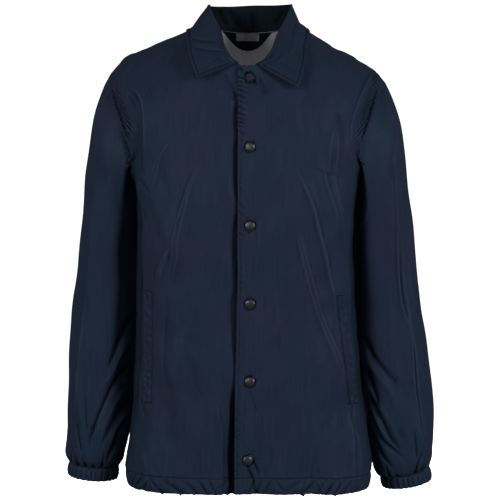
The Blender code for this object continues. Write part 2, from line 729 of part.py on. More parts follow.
# Pocket welts
for side in SIDES:
    front_tree = tree_of([(fronts[side], SIDES[side])])
    welt = lay(front_tree, welt_places(side), WELT_CLEAR + TRIM_CLOTH, 1.0)
    wall("pocket_welt_" + side, welt, normals_of(welt, -SIDES[side]), TRIM_CLOTH, nylon)

# Facing and label inside the back neck, dropped on the back's inner face
inside = back - back_normals * CLOTH
inside_tree = tree_of([(inside, 1)])
facing = lay(inside_tree, facing_places(), SEAM_GAP + TRIM_CLOTH, 1.0)
wall("neck_facing", facing, normals_of(facing, -1.0), TRIM_CLOTH, nylon_dark)
label = lay(inside_tree, label_places(), 2 * (SEAM_GAP + TRIM_CLOTH) + SEAM_GAP, 1.0)
wall("neck_label", label, normals_of(label, -1.0), TRIM_CLOTH, satin)

# Snaps: a domed cap on the over front, a stud between the laps
over_tree = tree_of([(fronts["left"], 1)])
heights = [SNAP_FIRST] + [SNAP_SECOND - SNAP_PITCH * step for step in range(SNAP_COUNT - 1)]
cap_shape = ((0.0, 1.0), (0.45, 0.95), (0.80, 0.72), (1.0, 0.30), (1.0, 0.0), (0.0, 0.0))
cap_profile = [(radius * CAP_RADIUS, height * CAP_HEIGHT) for radius, height in cap_shape]
stud_height = UNDERLAP_DEPTH - CLOTH - 2.6 * SEAM_GAP
stud_profile = [(0.0, stud_height), (STUD_RADIUS, stud_height), (STUD_RADIUS, 0.0), (0.0, 0.0)]
for number, height in enumerate(heights, start=1):
    spot, axis = on_cloth(over_tree, 0.0, height, 1.0)
    turned("snap_cap_%d" % number, cap_profile, spot + axis * SEAM_GAP, axis, gunmetal)
    below = CLOTH + SEAM_GAP + stud_height
    turned("snap_stud_%d" % number, stud_profile, spot - axis * below, axis, gunmetal)
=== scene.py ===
import math

import bpy
import numpy as np
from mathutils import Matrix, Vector
from mathutils.bvhtree import BVHTree


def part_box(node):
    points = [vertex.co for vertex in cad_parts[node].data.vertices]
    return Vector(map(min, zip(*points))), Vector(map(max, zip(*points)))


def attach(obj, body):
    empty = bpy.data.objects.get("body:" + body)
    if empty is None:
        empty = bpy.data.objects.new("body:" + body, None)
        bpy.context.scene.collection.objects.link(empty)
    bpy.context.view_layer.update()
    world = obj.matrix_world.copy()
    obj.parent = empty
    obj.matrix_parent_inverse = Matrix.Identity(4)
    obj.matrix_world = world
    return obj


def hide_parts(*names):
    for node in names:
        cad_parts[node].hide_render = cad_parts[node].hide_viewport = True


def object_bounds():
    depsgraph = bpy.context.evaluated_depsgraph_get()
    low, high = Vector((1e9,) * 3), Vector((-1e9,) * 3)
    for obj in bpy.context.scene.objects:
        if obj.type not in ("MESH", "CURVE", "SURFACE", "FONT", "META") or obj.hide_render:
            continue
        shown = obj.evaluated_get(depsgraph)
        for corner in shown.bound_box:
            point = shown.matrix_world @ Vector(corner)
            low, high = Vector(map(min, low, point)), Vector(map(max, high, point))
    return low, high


# Navy nylon windbreaker, filled out as worn: fine cloth, creases, sewing and finishes over the solids.
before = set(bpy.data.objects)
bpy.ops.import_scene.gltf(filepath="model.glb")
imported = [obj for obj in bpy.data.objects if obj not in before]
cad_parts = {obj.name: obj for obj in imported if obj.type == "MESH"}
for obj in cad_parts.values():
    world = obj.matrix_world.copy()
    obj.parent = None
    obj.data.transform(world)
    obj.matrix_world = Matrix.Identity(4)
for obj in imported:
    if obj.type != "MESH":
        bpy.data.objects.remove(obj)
cadLow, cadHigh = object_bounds()
print("frame: %d nodes, %d mm tall" % (len(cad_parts), round((cadHigh.z - cadLow.z) * 1000)))

mm = 0.001
sides = {"right": -1.0, "left": 1.0}  # the wearer's sides; the front faces -Y


# Small tools for lines and grids of points

def named(columns, rows):
    return dict(zip(columns, np.array(rows, float).T))


def through(knots, rows, at):  # smooth curve through table rows
    rows, at = np.asarray(rows, float), np.asarray(at, float)
    slopes = np.gradient(rows, knots, axis=0)
    left = np.clip(np.searchsorted(knots, at, side="right") - 1, 0, len(knots) - 2)
    span = knots[left + 1] - knots[left]
    part = (at - knots[left]) / span
    shape = part.shape + (1,) * (rows.ndim - 1)
    part, span = part.reshape(shape), span.reshape(shape)
    start = rows[left] * (1 + 2 * part) * (1 - part) ** 2 + slopes[left] * span * part * (1 - part) ** 2
    stop = rows[left + 1] * part ** 2 * (3 - 2 * part) + slopes[left + 1] * span * part ** 2 * (part - 1)
    return start + stop


def pointsAt(line, shares):  # points at shares of a line's length
    steps = np.linalg.norm(np.diff(line, axis=0), axis=1)
    length = np.concatenate([[0.0], np.cumsum(steps)])
    at = np.asarray(shares) * length[-1]
    return np.stack([np.interp(at, length, line[:, axis]) for axis in range(line.shape[1])], axis=1)


def ease(value, low, high):
    part = np.clip((value - low) / (high - low), 0.0, 1.0)
    return part * part * (3 - 2 * part)


def unit(vectors):
    return vectors / np.maximum(np.linalg.norm(vectors, axis=-1, keepdims=True), 1e-9)


def normalsOf(grid, outward, closed=False):
    around = np.roll(grid, -1, axis=1) - np.roll(grid, 1, axis=1) if closed else np.gradient(grid, axis=1)
    return unit(np.cross(around, np.gradient(grid, axis=0)) * outward)


def runOf(grid, axis):  # distance run along an axis of the grid, from its first line
    steps = np.linalg.norm(np.diff(grid, axis=axis), axis=2)
    return np.concatenate([np.zeros_like(np.take(steps, [0], axis)), np.cumsum(steps, axis=axis)], axis=axis)


def unevenness(x, z, size, seed):  # smooth random height of about one, from slanted waves near one length
    draw = np.random.default_rng(seed)
    field = np.zeros_like(x)
    for _ in range(14):
        heading, wave = draw.uniform(0, math.pi), 2 * math.pi / (size * draw.uniform(0.7, 1.5))
        field += np.cos((x * math.cos(heading) + z * math.sin(heading)) * wave + draw.uniform(0, 2 * math.pi))
    return field / math.sqrt(7)


def creased(x, z, creases):
    # Soft ridges and troughs along listed paths: height, softness left and right of the path, path, all in mm.
    raised = np.zeros(x.size)
    flatX, flatZ = x.ravel(), z.ravel()
    for height, before, after, path in creases:
        line = np.array(path, float) * mm
        if len(path) > 2:
            line = through(np.arange(len(path)), line, np.linspace(0, len(path) - 1, 4 * len(path)))
        margin = 3.5 * max(before, after) * mm
        low, high = line.min(axis=0) - margin, line.max(axis=0) + margin
        near = np.where((flatX > low[0]) & (flatX < high[0]) & (flatZ > low[1]) & (flatZ < high[1]))[0]
        px, pz = flatX[near], flatZ[near]
        best, side, along = np.full(near.size, 1e9), np.zeros(near.size), np.zeros(near.size)
        steps = np.linalg.norm(np.diff(line, axis=0), axis=1)
        run = np.concatenate([[0.0], np.cumsum(steps)]) / steps.sum()
        for k in range(len(line) - 1):
            way = line[k + 1] - line[k]
            share = np.clip(((px - line[k, 0]) * way[0] + (pz - line[k, 1]) * way[1]) / (way @ way), 0, 1)
            dx, dz = px - line[k, 0] - share * way[0], pz - line[k, 1] - share * way[1]
            away = np.hypot(dx, dz)
            closer = away < best
            best = np.where(closer, away, best)
            side = np.where(closer, way[0] * dz - way[1] * dx, side)
            along = np.where(closer, run[k] + share * (run[k + 1] - run[k]), along)
        soft = np.where(side > 0, before, after) * mm
        fade = ease(along, 0.0, 0.24) * ease(1 - along, 0.0, 0.32)
        crest = np.sqrt((best / soft) ** 2 + 0.04) - 0.2  # pressed nylon bends sharply, its flanks stay straight
        raised[near] += height * mm * fade * np.exp(-1.5 * crest)
    return raised.reshape(x.shape)


def paintedCreaseLight(x, z, creases):  # painted highlight along the sharp edges of pressed folds, painted shade down the narrow deep ones
    sharp = tuple((1000.0, 1.2, 1.2, path) for height, before, after, path in creases if height > 0 and before < 3.5)
    deep = tuple((1000.0, 1.4, 1.4, path) for height, before, after, path in creases if height < -2.5 and before < 2.3)
    return 0.75 * np.clip(creased(x, z, sharp), 0, 1) - 1.0 * np.clip(creased(x, z, deep), 0, 1)


def puckered(away, along, pucker):
    # Short ripples beside a seam, uneven in pitch and height; slant turns them off the square.
    pitch, reach = pucker["pitch"] * mm, pucker["reach"] * mm
    still = np.zeros_like(along)
    phase = 2 * math.pi * (along + pucker["slant"] * away) / pitch
    phase = phase + pucker.get("uneven", 2.0) * unevenness(along, still, 5 * pitch, pucker["seed"])
    strength = pucker["height"] * mm * (0.7 + 0.3 * unevenness(along, still, 8 * pitch, pucker["seed"] + 1))
    ripple = 2.2 * np.sqrt(np.abs(np.cos(phase / 2)) + 0.01) - 1.7  # rounded crests, sharp valleys
    return strength * ripple * np.exp(-((away - pucker["middle"] * mm) / (reach / 2)) ** 2)


# Body form: the same sections as the solids, drawn with many more rows and columns

bodyForm = {
    "hemSeam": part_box("front_left")[0].z + 0.0002,
    "underarm": -0.298, "chest": -0.215,
    "armhole": {"front": 0.090, "back": 0.096}, "edgePull": 4, "frontTurn": 2.2,  # turns back early under the arm
    "lap": 0.020, "underlapDepth": 0.0056, "underlapFlat": 0.022, "underlapEnd": 0.060,
    "neckHalf": 0.075, "neckDepth": {"front": 0.095, "back": 0.062}, "neckDrop": {"front": 0.079, "back": 0.012},
    "neckCurve": 1.35, "neckShare": {"front": 7 / 16, "back": 4 / 11},
    "shoulder": {"right": (0.231, 0.012, 0.41, 0.088), "left": (0.212, 0.012, 0.575, 0.086)},  # reach, back, slope, fall
    "shoulderRound": 8, "shoulderSag": 0.0045,
    "rowsBelow": 200, "rowsSwing": 44, "rowsRise": 112,  # hem to underarm, to chest, to shoulder
    "cloth": 0.0009,
}
torso = named(("height", "right", "left", "front", "back", "square"), (
    (-0.755, 0.206, 0.200, 0.131, 0.121, 3.3),
    (-0.690, 0.200, 0.196, 0.134, 0.120, 3.0),
    (-0.620, 0.193, 0.188, 0.136, 0.117, 2.7),
    (-0.540, 0.188, 0.178, 0.137, 0.114, 2.8),
    (-0.455, 0.186, 0.173, 0.138, 0.113, 2.8),
    (-0.370, 0.185, 0.173, 0.139, 0.118, 2.9),
    (-0.298, 0.187, 0.175, 0.138, 0.125, 3.0),
    (-0.215, 0.207, 0.190, 0.131, 0.126, 3.2),
))


def sectionRow(side, face, height, past, endDepth, shares):  # a quarter of a rounded-square ring
    half, depth, square = (float(through(torso["height"], torso[name], np.array([height]))[0])
                           for name in (side, face, "square"))
    first = -math.asin((past / half) ** (square / 2))
    last = math.acos(min(1.0, (endDepth / depth) ** (square / 2)))
    turn = np.linspace(first, last, 240)
    x = half * np.sign(turn) * np.abs(np.sin(turn)) ** (2 / square)
    y = depth * np.abs(np.cos(turn)) ** (2 / square)
    flat = pointsAt(np.stack([x, y], axis=1), shares)
    return np.stack([flat[:, 0], flat[:, 1] * (-1 if face == "front" else 1), np.full(len(shares), height)], axis=1)


def topLine(side, face, past, shares):  # round the neck, then out along the shoulder seam
    turn = np.linspace(0.0, math.pi / 2, 240)
    depth, drop = bodyForm["neckDepth"][face], bodyForm["neckDrop"][face]
    neck = np.stack([bodyForm["neckHalf"] * np.sin(turn), depth * np.cos(turn),
                     -drop * np.cos(turn) ** bodyForm["neckCurve"]], axis=1)
    if past > 0.0:
        neck = np.concatenate([[[-past, depth, -drop]], neck])
    neckShare = bodyForm["neckShare"][face]
    line = pointsAt(neck, np.clip(shares / neckShare, 0, 1)) * (1, -1 if face == "front" else 1, 1)
    reach, back, slope, fall = bodyForm["shoulder"][side]
    out = np.clip((shares - neckShare) / (1 - neckShare), 0, 1)
    run = reach - bodyForm["neckHalf"]
    sag = bodyForm["shoulderSag"] * np.sin(math.pi * np.sqrt(out))
    lower = slope * run * out + (fall - slope * run) * out ** bodyForm["shoulderRound"] + sag
    seam = np.stack([bodyForm["neckHalf"] + run * out, back * out, -lower], axis=1)
    return np.where((shares > neckShare)[:, None], seam, line)


def halfPanel(side, face, past, shares):
    # Rows rise from the hem seam to the underarm, swing round the armhole, then arch over to neck and shoulder.
    low, high = bodyForm["underarm"], bodyForm["chest"]
    levels = [(level, level, 0.0) for level in np.linspace(bodyForm["hemSeam"], low, bodyForm["rowsBelow"] + 1)]
    for share in np.linspace(0, 1, bodyForm["rowsSwing"] + 1)[1:]:
        level, reach = low + (high - low) * share, bodyForm["armhole"][face]
        if face == "front":
            levels.append((level, level, reach * math.sin(math.pi / 2 * share ** bodyForm["frontTurn"])))
        else:
            swing = math.pi / 2 * share
            levels.append((level, high - (high - low) * math.cos(swing), reach * math.sin(swing)))
    rows = []
    for level, edgeLevel, endDepth in levels:
        inside = sectionRow(side, face, level, past, endDepth, shares)
        if edgeLevel != level:
            edge = sectionRow(side, face, edgeLevel, past, endDepth, shares)
            inside = inside + (edge - inside) * (shares ** bodyForm["edgePull"])[:, None]
        rows.append(inside)
    top, chest = topLine(side, face, past, shares), rows[-1]
    neckward = np.clip(1.0 - (shares / bodyForm["neckShare"][face]) ** 1.5, 0.0, 1.0)
    for angle in np.linspace(0.0, math.pi / 2, bodyForm["rowsRise"] + 1)[1:]:
        rise = math.sin(angle)
        over = (1 - neckward) * (1 - math.sqrt(max(0.0, 1 - rise * rise))) + neckward * rise ** 1.5
        row = chest + (top - chest) * rise
        row[:, 1] = chest[:, 1] + (top[:, 1] - chest[:, 1]) * over
        rows.append(row)
    return np.array(rows)


def softened(grid, rounds):
    # Eases the kinks that the neck corner and the change of rows leave in the upper panel; the edges stay.
    first = bodyForm["rowsBelow"] - 26
    upper = grid[first:]
    row = np.arange(len(upper))
    weight = (0.8 * ease(row, 0, 26) * ease(len(upper) - 1 - row, 0, 52))[1:-1, None, None]
    for _ in range(rounds):
        near = (upper[1:-1, :-2] + upper[1:-1, 2:] + upper[:-2, 1:-1] + upper[2:, 1:-1]) / 4
        upper[1:-1, 1:-1] += weight * (near - upper[1:-1, 1:-1])
    return grid


def edgeRun(grid, edge):  # distance from one edge of the grid
    if edge == "start":
        return runOf(grid, 1)
    if edge == "end":
        return runOf(grid[:, ::-1], 1)[:, ::-1]
    return runOf(grid, 0) if edge == "bottom" else runOf(grid[::-1], 0)[::-1]


# Fronts: the left one laps over the right; creases follow the photograph, x from the middle, z from the neck

snapSpots = [sum(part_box("snap_cap_%d" % n), Vector()) / 2 for n in range(1, 7)]
snapSpots[5] += Vector((-0.0032, 0.0, -0.0032))  # the lowest hangs a little in its cloth
frontLook = {
    "columns": 216,
    "drape": ((1.8, 150, 11), (1.2, 60, 12), (0.22, 22, 13)),  # height and size in mm, seed
    "right": (
        (6.5, 30, 2.4, ((-201, -104), (-177, -121), (-166, -146), (-164, -177), (-166, -207), (-165, -241), (-158, -262))),
        (0.5, 2.0, 2.0, ((-186, -112), (-174, -121), (-164, -146), (-162, -177), (-163, -207), (-163, -238))),
        (-5.0, 10, 8, ((-44, -84), (-28, -108), (-19, -140))),  # falls away beside the lap
        (1.9, 3.4, 3.4, ((-130, -200), (-134, -209), (-147, -229), (-156, -256))),  # pressed folds: two thin ridges each
        (1.9, 3.4, 3.4, ((-129, -200), (-139, -221), (-149, -257), (-158, -288))),
        (1.4, 9, 6, ((-77, -224), (-92, -262), (-104, -306), (-116, -366), (-132, -432))),
        (2.0, 3.4, 3.4, ((-77, -222), (-88, -247), (-96, -267), (-100, -282), (-108, -309), (-117, -342), (-122, -379), (-136, -434))),
        (2.0, 3.4, 3.4, ((-77, -222), (-83, -242), (-95, -282), (-100, -303), (-107, -333), (-112, -370), (-117, -392), (-127, -434))),
        (-1.0, 6, 8, ((-77, -228), (-97, -261), (-108, -282), (-120, -318))),
        (1.7, 3.2, 3.2, ((-122, -358), (-131, -374), (-140, -393), (-151, -428))),
        (1.7, 3.2, 3.2, ((-121, -360), (-126, -369), (-133, -386), (-146, -424))),
        (1.6, 8, 8, ((-162, -289), (-159, -330), (-156, -391))),
        (-1.6, 2.4, 3, ((-175, -252), (-163, -267), (-156, -282))),
        (-1.6, 2.4, 3, ((-176, -292), (-164, -315), (-161, -330))),
        (-1.2, 1.8, 3, ((-195, -122), (-184, -134), (-178, -150))),
        (-1.0, 1.8, 3, ((-182, -160), (-176, -176), (-172, -196))),
        (-1.0, 1.8, 3, ((-176, -186), (-170, -204), (-168, -220))),
        (1.8, 5, 9, ((-52, -108), (-33, -128), (-22, -152))),
        (-3.6, 6, 4, ((-18, -70), (-19, -300), (-20, -520), (-21, -800))),  # sinks under the edge of the other front
        (-4.0, 6, 9, ((-18, -130), (-20, -165), (-18, -196))),
        (-5.0, 6, 10, ((-18, -180), (-21, -214), (-20, -265), (-18, -300))),
        (-4.5, 6, 9, ((-18, -302), (-22, -350), (-18, -425))),
        (-3.5, 6, 9, ((-18, -410), (-21, -480), (-18, -570))),
        (3.4, 3.5, 5, ((-40, -585), (-50, -612), (-45, -643), (-44, -681), (-44, -760))),
        (-21.0, 8, 7, ((-18, -560), (-24, -634), (-27, -682), (-26, -800))),
        (2.0, 28, 22, ((-60, -350), (-72, -491), (-80, -620))),
        (-1.6, 8, 3, ((-131, -440), (-137, -523), (-131, -600))),
        (-2.2, 12, 12, ((-160, -612), (-168, -645), (-178, -690))),
        (1.8, 4, 4, ((-170, -682), (-167, -705), (-162, -735))),
        (1.8, 3, 3, ((-180, -456), (-177, -500), (-180, -540), (-176, -580), (-178, -622))),  # beside the welt
        (-1.6, 2.2, 2.6, ((-170, -468), (-183, -490))),
        (-1.6, 2.2, 2.6, ((-171, -526), (-184, -552))),
        (-1.8, 2.2, 2.6, ((-182, -594), (-171, -615), (-167, -640))),
        (1.4, 3.6, 3, ((-176, -610), (-172, -644))),
    ),
    "left": (
        (1.4, 8, 8, ((68, -224), (84, -266), (98, -308), (116, -372), (134, -450))),
        (2.0, 3.4, 3.4, ((68, -222), (73, -242), (80, -260), (93, -293), (103, -327), (114, -367), (126, -417), (140, -480))),
        (2.0, 3.4, 3.4, ((68, -222), (76, -249), (87, -270), (96, -292), (107, -333), (118, -374), (129, -425), (144, -484))),
        (1.2, 7, 7, ((71, -306), (80, -364), (96, -430), (126, -520), (156, -612))),
        (1.9, 3.4, 3.4, ((71, -306), (73, -336), (78, -366), (91, -420), (110, -474), (132, -536), (156, -600))),
        (1.9, 3.4, 3.4, ((71, -306), (76, -332), (84, -368), (100, -420), (119, -481), (137, -531), (160, -606))),
        (1.6, 5, 7, ((110, -238), (129, -294), (141, -335), (148, -376))),
        (1.8, 3.2, 3.4, ((108, -216), (116, -247), (121, -272), (129, -301), (140, -344))),
        (1.6, 3.2, 3.4, ((132, -236), (134, -269), (138, -296), (146, -344))),
        (1.8, 3.2, 3.4, ((136, -166), (125, -201), (123, -250))),
        (1.8, 3.2, 3.4, ((135, -170), (136, -211), (133, -252))),
        (-1.0, 6, 7, ((94, -248), (103, -272), (118, -328), (128, -374))),
        (-0.8, 1.8, 2.2, ((74, -231), (94, -237), (107, -244), (129, -250), (164, -258))),
        (-0.9, 1.8, 2.2, ((130, -203), (149, -236))),
        (-3.0, 7, 5, ((134, -140), (143, -169), (145, -213), (154, -236))),
        (2.4, 5, 2.4, ((172, -128), (160, -170), (157, -203), (157, -227), (166, -262))),
        (3.2, 12, 2.6, ((204, -72), (182, -112), (166, -148), (159, -176))),
        (0.5, 2.0, 2.0, ((196, -88), (176, -122), (163, -156), (158, -186), (156, -215))),
        (-1.0, 8, 10, ((3, -252), (15, -281), (30, -303))),
        (-1.0, 10, 8, ((54, -238), (40, -273), (26, -303))),
        (-0.9, 6, 9, ((56, -146), (28, -180), (10, -203))),
        (2.6, 3, 5, ((154, -610), (162, -647), (166, -692), (170, -740))),
        (1.4, 3, 4, ((164, -640), (176, -680), (178, -735))),
        (-1.5, 2.2, 2.6, ((-20, -552), (-9, -558), (2, -570))),
        (-1.8, 4, 4, ((-6, -572), (-5, -592), (-4, -636))),
        (-1.6, 4, 4, ((0, -574), (5, -592), (14, -624))),
        (-3.4, 2.2, 2.6, ((-3, -690), (1.6, -708), (6.2, -720), (13, -751), (22, -800))),  # dragged from the lowest snap
        (-2.6, 2.2, 3, ((-9, -692), (-2, -688), (6, -693), (12, -703), (15, -718))),
        (1.6, 3.6, 6, ((12, -690), (18, -703), (21, -726))),
        (1.4, 3.6, 3, ((160, -594), (166, -612), (173, -642))),  # where the welt ends
        (-1.8, 2.2, 2.6, ((174, -596), (167, -614), (164, -642))),
        (-1.4, 2.2, 2.6, ((154, -613), (166, -609), (178, -604))),
        (1.6, 26, 24, ((60, -420), (85, -540), (100, -680))),
        (9.0, 4, 5, ((-14, -66), (-9, -78), (-15, -98))),  # bunched under the top snap
        (6.0, 4, 4, ((-4, -66), (10, -74), (26, -80))),
        (-6.0, 5, 6, ((-12, -86), (2, -97), (12, -110))),
        (-3.4, 8, 9, ((10, -94), (19, -105), (24, -130))),
    ),
    "strays": {"count": 22, "length": (30, 110), "height": (0.3, 0.8), "soft": (6, 12), "seed": 15},
    "edgeDrift": ((-0.10, 0.0016), (-0.40, 0.0010), (-0.60, -0.0036), (-0.78, -0.0046)),  # the lapped edge by height
    "edgePuffs": {"pitch": 8.6, "height": 3.0, "reach": 14, "middle": 5, "slant": 0.35, "seed": 23},
    "edgePucker": {"pitch": 12.0, "height": 0.55, "reach": 14, "middle": 4.5, "slant": 0.7, "uneven": 3.6, "seed": 25},
    "armholePucker": {"pitch": 7.0, "height": 3.4, "reach": 16, "middle": 6.4, "slant": 0.8, "seed": 31},
    "armholeLip": 1.8, "seamSink": 4.5, "flankIn": {"right": 10, "left": 5},
    "hemPucker": {"pitch": 13.0, "height": 0.7, "reach": 26, "middle": 0, "slant": 0.25, "seed": 41},
    "hemDip": 1.9,
    "snapDish": 1.6, "snapReach": 9.5,
}


def strayCreases(look, low, high, seed):  # small creases with no cause that shows, mostly upright
    draw = np.random.default_rng(look["seed"] + seed)
    creases = []
    for _ in range(look["count"]):
        x, z = draw.uniform(low, high)
        length, lean, bend = draw.uniform(*look["length"]), draw.normal(0, 0.45), draw.uniform(-0.12, 0.12)
        way = np.array([math.sin(lean), math.cos(lean)]) * length
        middle = np.array([x, z]) + way / 2 + bend * np.array([way[1], -way[0]])
        height, soft = draw.uniform(*look["height"]) * draw.choice((-1, 1)), draw.uniform(*look["soft"])
        creases.append((height, soft, soft, ((x, z), tuple(middle), (x + way[0], z + way[1]))))
    return tuple(creases)


shoulderDrop = ((-205, 0), (-197, 2.4), (-187, 5.2), (-172, 5.6), (-157, 4.4), (-144, 3.0), (-130, 1.8), (-106, 0),
                (118, 0), (130, 1.0), (138, 3.0), (145, 5.0), (152, 5.6), (163, 4.6), (172, 2.8), (182, 1.0), (190, 0))  # x and drop in mm


def hung(grid):
    # The panels hang a little lower at the hem, most at the wearer's left, and lie flatter along the shoulders.
    x, z = grid[:, :, 0], grid[:, :, 2]
    hem = 0.0045 + 0.0010 * ease(-x, 0.09, 0.17) + 0.0050 * ease(x, 0.07, 0.17)
    shoulder = np.interp(x / mm, *np.array(shoulderDrop).T) * mm
    grid[:, :, 2] -= hem * ease(-z, 0.56, 0.72) + shoulder * ease(z, -0.15, -0.07)
    return grid


def armholeEdge(raised, fromArmhole, fromTop, x, z, look):
    # A puckered lip on the panel beside the armhole seam.
    above = ease(z, bodyForm["chest"] + 0.008, bodyForm["chest"] + 0.040) * ease(fromTop, 0.012, 0.060)
    lip = np.exp(-((fromArmhole - 0.005) / 0.0045) ** 2) * ease(fromArmhole, 0, 0.003)
    sink = look["seamSink"] * np.exp(-(fromArmhole / 0.0024) ** 2)
    return raised + above * (puckered(fromArmhole, z - 0.5 * np.abs(x), look["armholePucker"]) + (look["armholeLip"] * lip - sink) * mm)


def hemEdge(raised, fromHem, x, look):
    calm = 1 - 0.7 * ease(-np.abs(x), -0.05, -0.02)
    return raised + puckered(fromHem, x, look["hemPucker"]) * calm - look["hemDip"] * mm * np.exp(-(fromHem / 0.0018) ** 2)


def frontGrid(side):
    look = frontLook
    shares = np.linspace(0, 1, look["columns"])
    grid = softened(halfPanel(side, "front", bodyForm["lap"], shares), 280)
    if side == "right":
        sunk = 1.0 - ease(grid[:, :, 0], bodyForm["underlapFlat"], bodyForm["underlapEnd"])
        grid[:, :, 1] += bodyForm["underlapDepth"] * sunk
        hidden = (1 - ease(grid[:, :, 0], -0.004, 0.014)) * ease(-grid[:, :, 2], 0.085, 0.12)
        grid[:, :, 1] += 0.0045 * hidden  # clear of the creases in the front over it
    grid[:, :, 0] *= sides[side]
    normal = normalsOf(grid, sides[side])
    x, z = grid[:, :, 0], grid[:, :, 2]
    fromEdge, fromArmhole, fromHem, fromTop = (edgeRun(grid, edge) for edge in ("start", "end", "bottom", "top"))
    low, high = sorted((sides[side] * 30, sides[side] * 165))
    raised = creased(x, z, look[side] + strayCreases(look["strays"], (low, -730), (high, -150), int(sides[side])))
    for height, size, seed in look["drape"]:
        raised += height * mm * unevenness(x, z * 0.6, size * mm, seed + int(sides[side]))
    calm = ease(fromArmhole, 0, 0.012) * ease(fromTop, 0, 0.014)
    if side == "left":
        calm *= 0.25 + 0.75 * ease(fromEdge, 0, 0.03)
    raised *= calm
    # Beside the sleeve the flank is drawn in, so the side ends in a fold with the dark behind it.
    flank = ease(np.abs(normal[:, :, 0]), 0.84, 0.985) * ease(-z, 0.205, 0.245) * ease(z, -0.66, -0.58)
    raised -= look["flankIn"][side] * mm * flank * ease(fromArmhole, 0, 0.03)
    raised = armholeEdge(raised, fromArmhole, fromTop, x, z, look)
    raised = hemEdge(raised, fromHem, x, look)
    # Painted highlight and painted shade along the listed creases, carried to the finish as a point attribute.
    paintedLight = paintedCreaseLight(x, z, look[side])
    if side == "left":
        upper = ease(z, -0.205, -0.180)
        raised += upper * puckered(fromEdge, z, look["edgePuffs"]) + puckered(fromEdge, z, look["edgePucker"])
        heights, drift = np.array(look["edgeDrift"])[::-1].T
        drift = np.interp(z, heights, drift) * (1 - ease(fromEdge, 0, 0.06))
        for spot in snapSpots:
            aside, up = x + drift - spot.x, z - 0.0045 * ease(-spot.z, 0.56, 0.72) - spot.z
            reach, angle = np.hypot(aside, up) / mm, np.arctan2(up, aside)
            raised -= look["snapDish"] * mm * np.exp(-(reach / look["snapReach"]) ** 2)
            rays = np.cos(5 * angle + 40 * spot.z) + 0.6 * np.cos(3 * angle + 90 * spot.z)
            raised += 0.45 * mm * rays * np.exp(-((reach - 12) / 6) ** 2)
            paintedLight -= 1.5 * np.exp(-((reach - 8.8) / 1.3) ** 2)  # painted shadow: the dark line under the cap's rim
    grid = grid + normal * raised[:, :, None]
    if side == "left":
        grid[:, :, 0] += drift
    return hung(grid), paintedLight


fronts, frontPaintedLight = {}, {}
for side in sides:
    fronts[side], frontPaintedLight[side] = frontGrid(side)
print("fronts: %d x %d points each" % fronts["left"].shape[:2])

# Back: no picture of it, so soft folds like the front's run down from the shoulder blades

backLook = {
    "halfColumns": 70,
    "drape": ((1.6, 170, 51), (0.6, 60, 52), (0.14, 20, 53)),
    "creases": (
        (4.6, 14, 12, ((60, -215), (84, -270), (112, -350), (138, -440))),
        (1.0, 3, 3, ((66, -232), (90, -290), (116, -360))),
        (3.4, 14, 14, ((28, -300), (44, -420), (62, -570))),
        (4.4, 12, 14, ((-58, -210), (-86, -280), (-110, -360), (-132, -450))),
        (1.0, 3, 3, ((-64, -226), (-92, -298), (-116, -372))),
        (3.4, 15, 13, ((-34, -350), (-56, -470), (-78, -600))),
        (-2.4, 9, 9, ((6, -240), (2, -360), (-10, -500))),
        (-2.6, 10, 8, ((120, -150), (142, -200), (156, -262))),
        (-2.6, 8, 10, ((-128, -150), (-150, -200), (-168, -262))),
        (2.0, 6, 8, ((150, -500), (160, -580), (166, -680))),
        (1.8, 8, 6, ((-156, -520), (-164, -600), (-172, -690))),
        (1.2, 4, 4, ((-90, -640), (-96, -680), (-94, -725))),
        (1.2, 4, 4, ((40, -630), (46, -676), (44, -725))),
    ),
    "strays": {"count": 30, "length": (30, 110), "height": (0.3, 0.7), "soft": (6, 11), "seed": 55},
    "armholePucker": {"pitch": 6.0, "height": 0.7, "reach": 9, "middle": 4.5, "slant": 0.7, "seed": 61},
    "armholeLip": 1.2, "seamSink": 2.0, "flankOut": 8.0,
    "hemPucker": {"pitch": 13.5, "height": 0.8, "reach": 28, "middle": 0, "slant": 0.25, "seed": 71},
    "hemDip": 1.4,
}


def backGrid():
    look = backLook
    shares = np.linspace(0, 1, look["halfColumns"] + 1)
    right, left = (halfPanel(side, "back", 0.0, shares) for side in ("right", "left"))
    right[:, :, 0] *= -1.0
    grid = softened(np.concatenate([right[:, :0:-1], left], axis=1), 200)
    normal = normalsOf(grid, -1.0)
    x, z = grid[:, :, 0], grid[:, :, 2]
    raised = creased(x, z, look["creases"] + strayCreases(look["strays"], (-150, -730), (150, -150), 0))
    for height, size, seed in look["drape"]:
        raised += height * mm * unevenness(x, z * 0.6, size * mm, seed)
    fromArmhole = np.minimum(edgeRun(grid, "start"), edgeRun(grid, "end"))
    fromTop = edgeRun(grid, "top")
    raised *= ease(fromArmhole, 0, 0.012) * ease(fromTop, 0, 0.014)
    flank = np.exp(-((fromArmhole - 0.022) / 0.016) ** 2) * ease(-z, 0.27, 0.30) * ease(z, -0.64, -0.58)
    raised += look["flankOut"] * mm * flank  # so that no light comes through beside the body
    raised = armholeEdge(raised, fromArmhole, fromTop, x, z, look)
    raised = hemEdge(raised, edgeRun(grid, "bottom"), x, look)
    return hung(grid + normal * raised[:, :, None])


back = backGrid()
print("back: %d x %d points" % back.shape[:2])

# Sleeves: tubes from the armhole loop to the gathered cuff

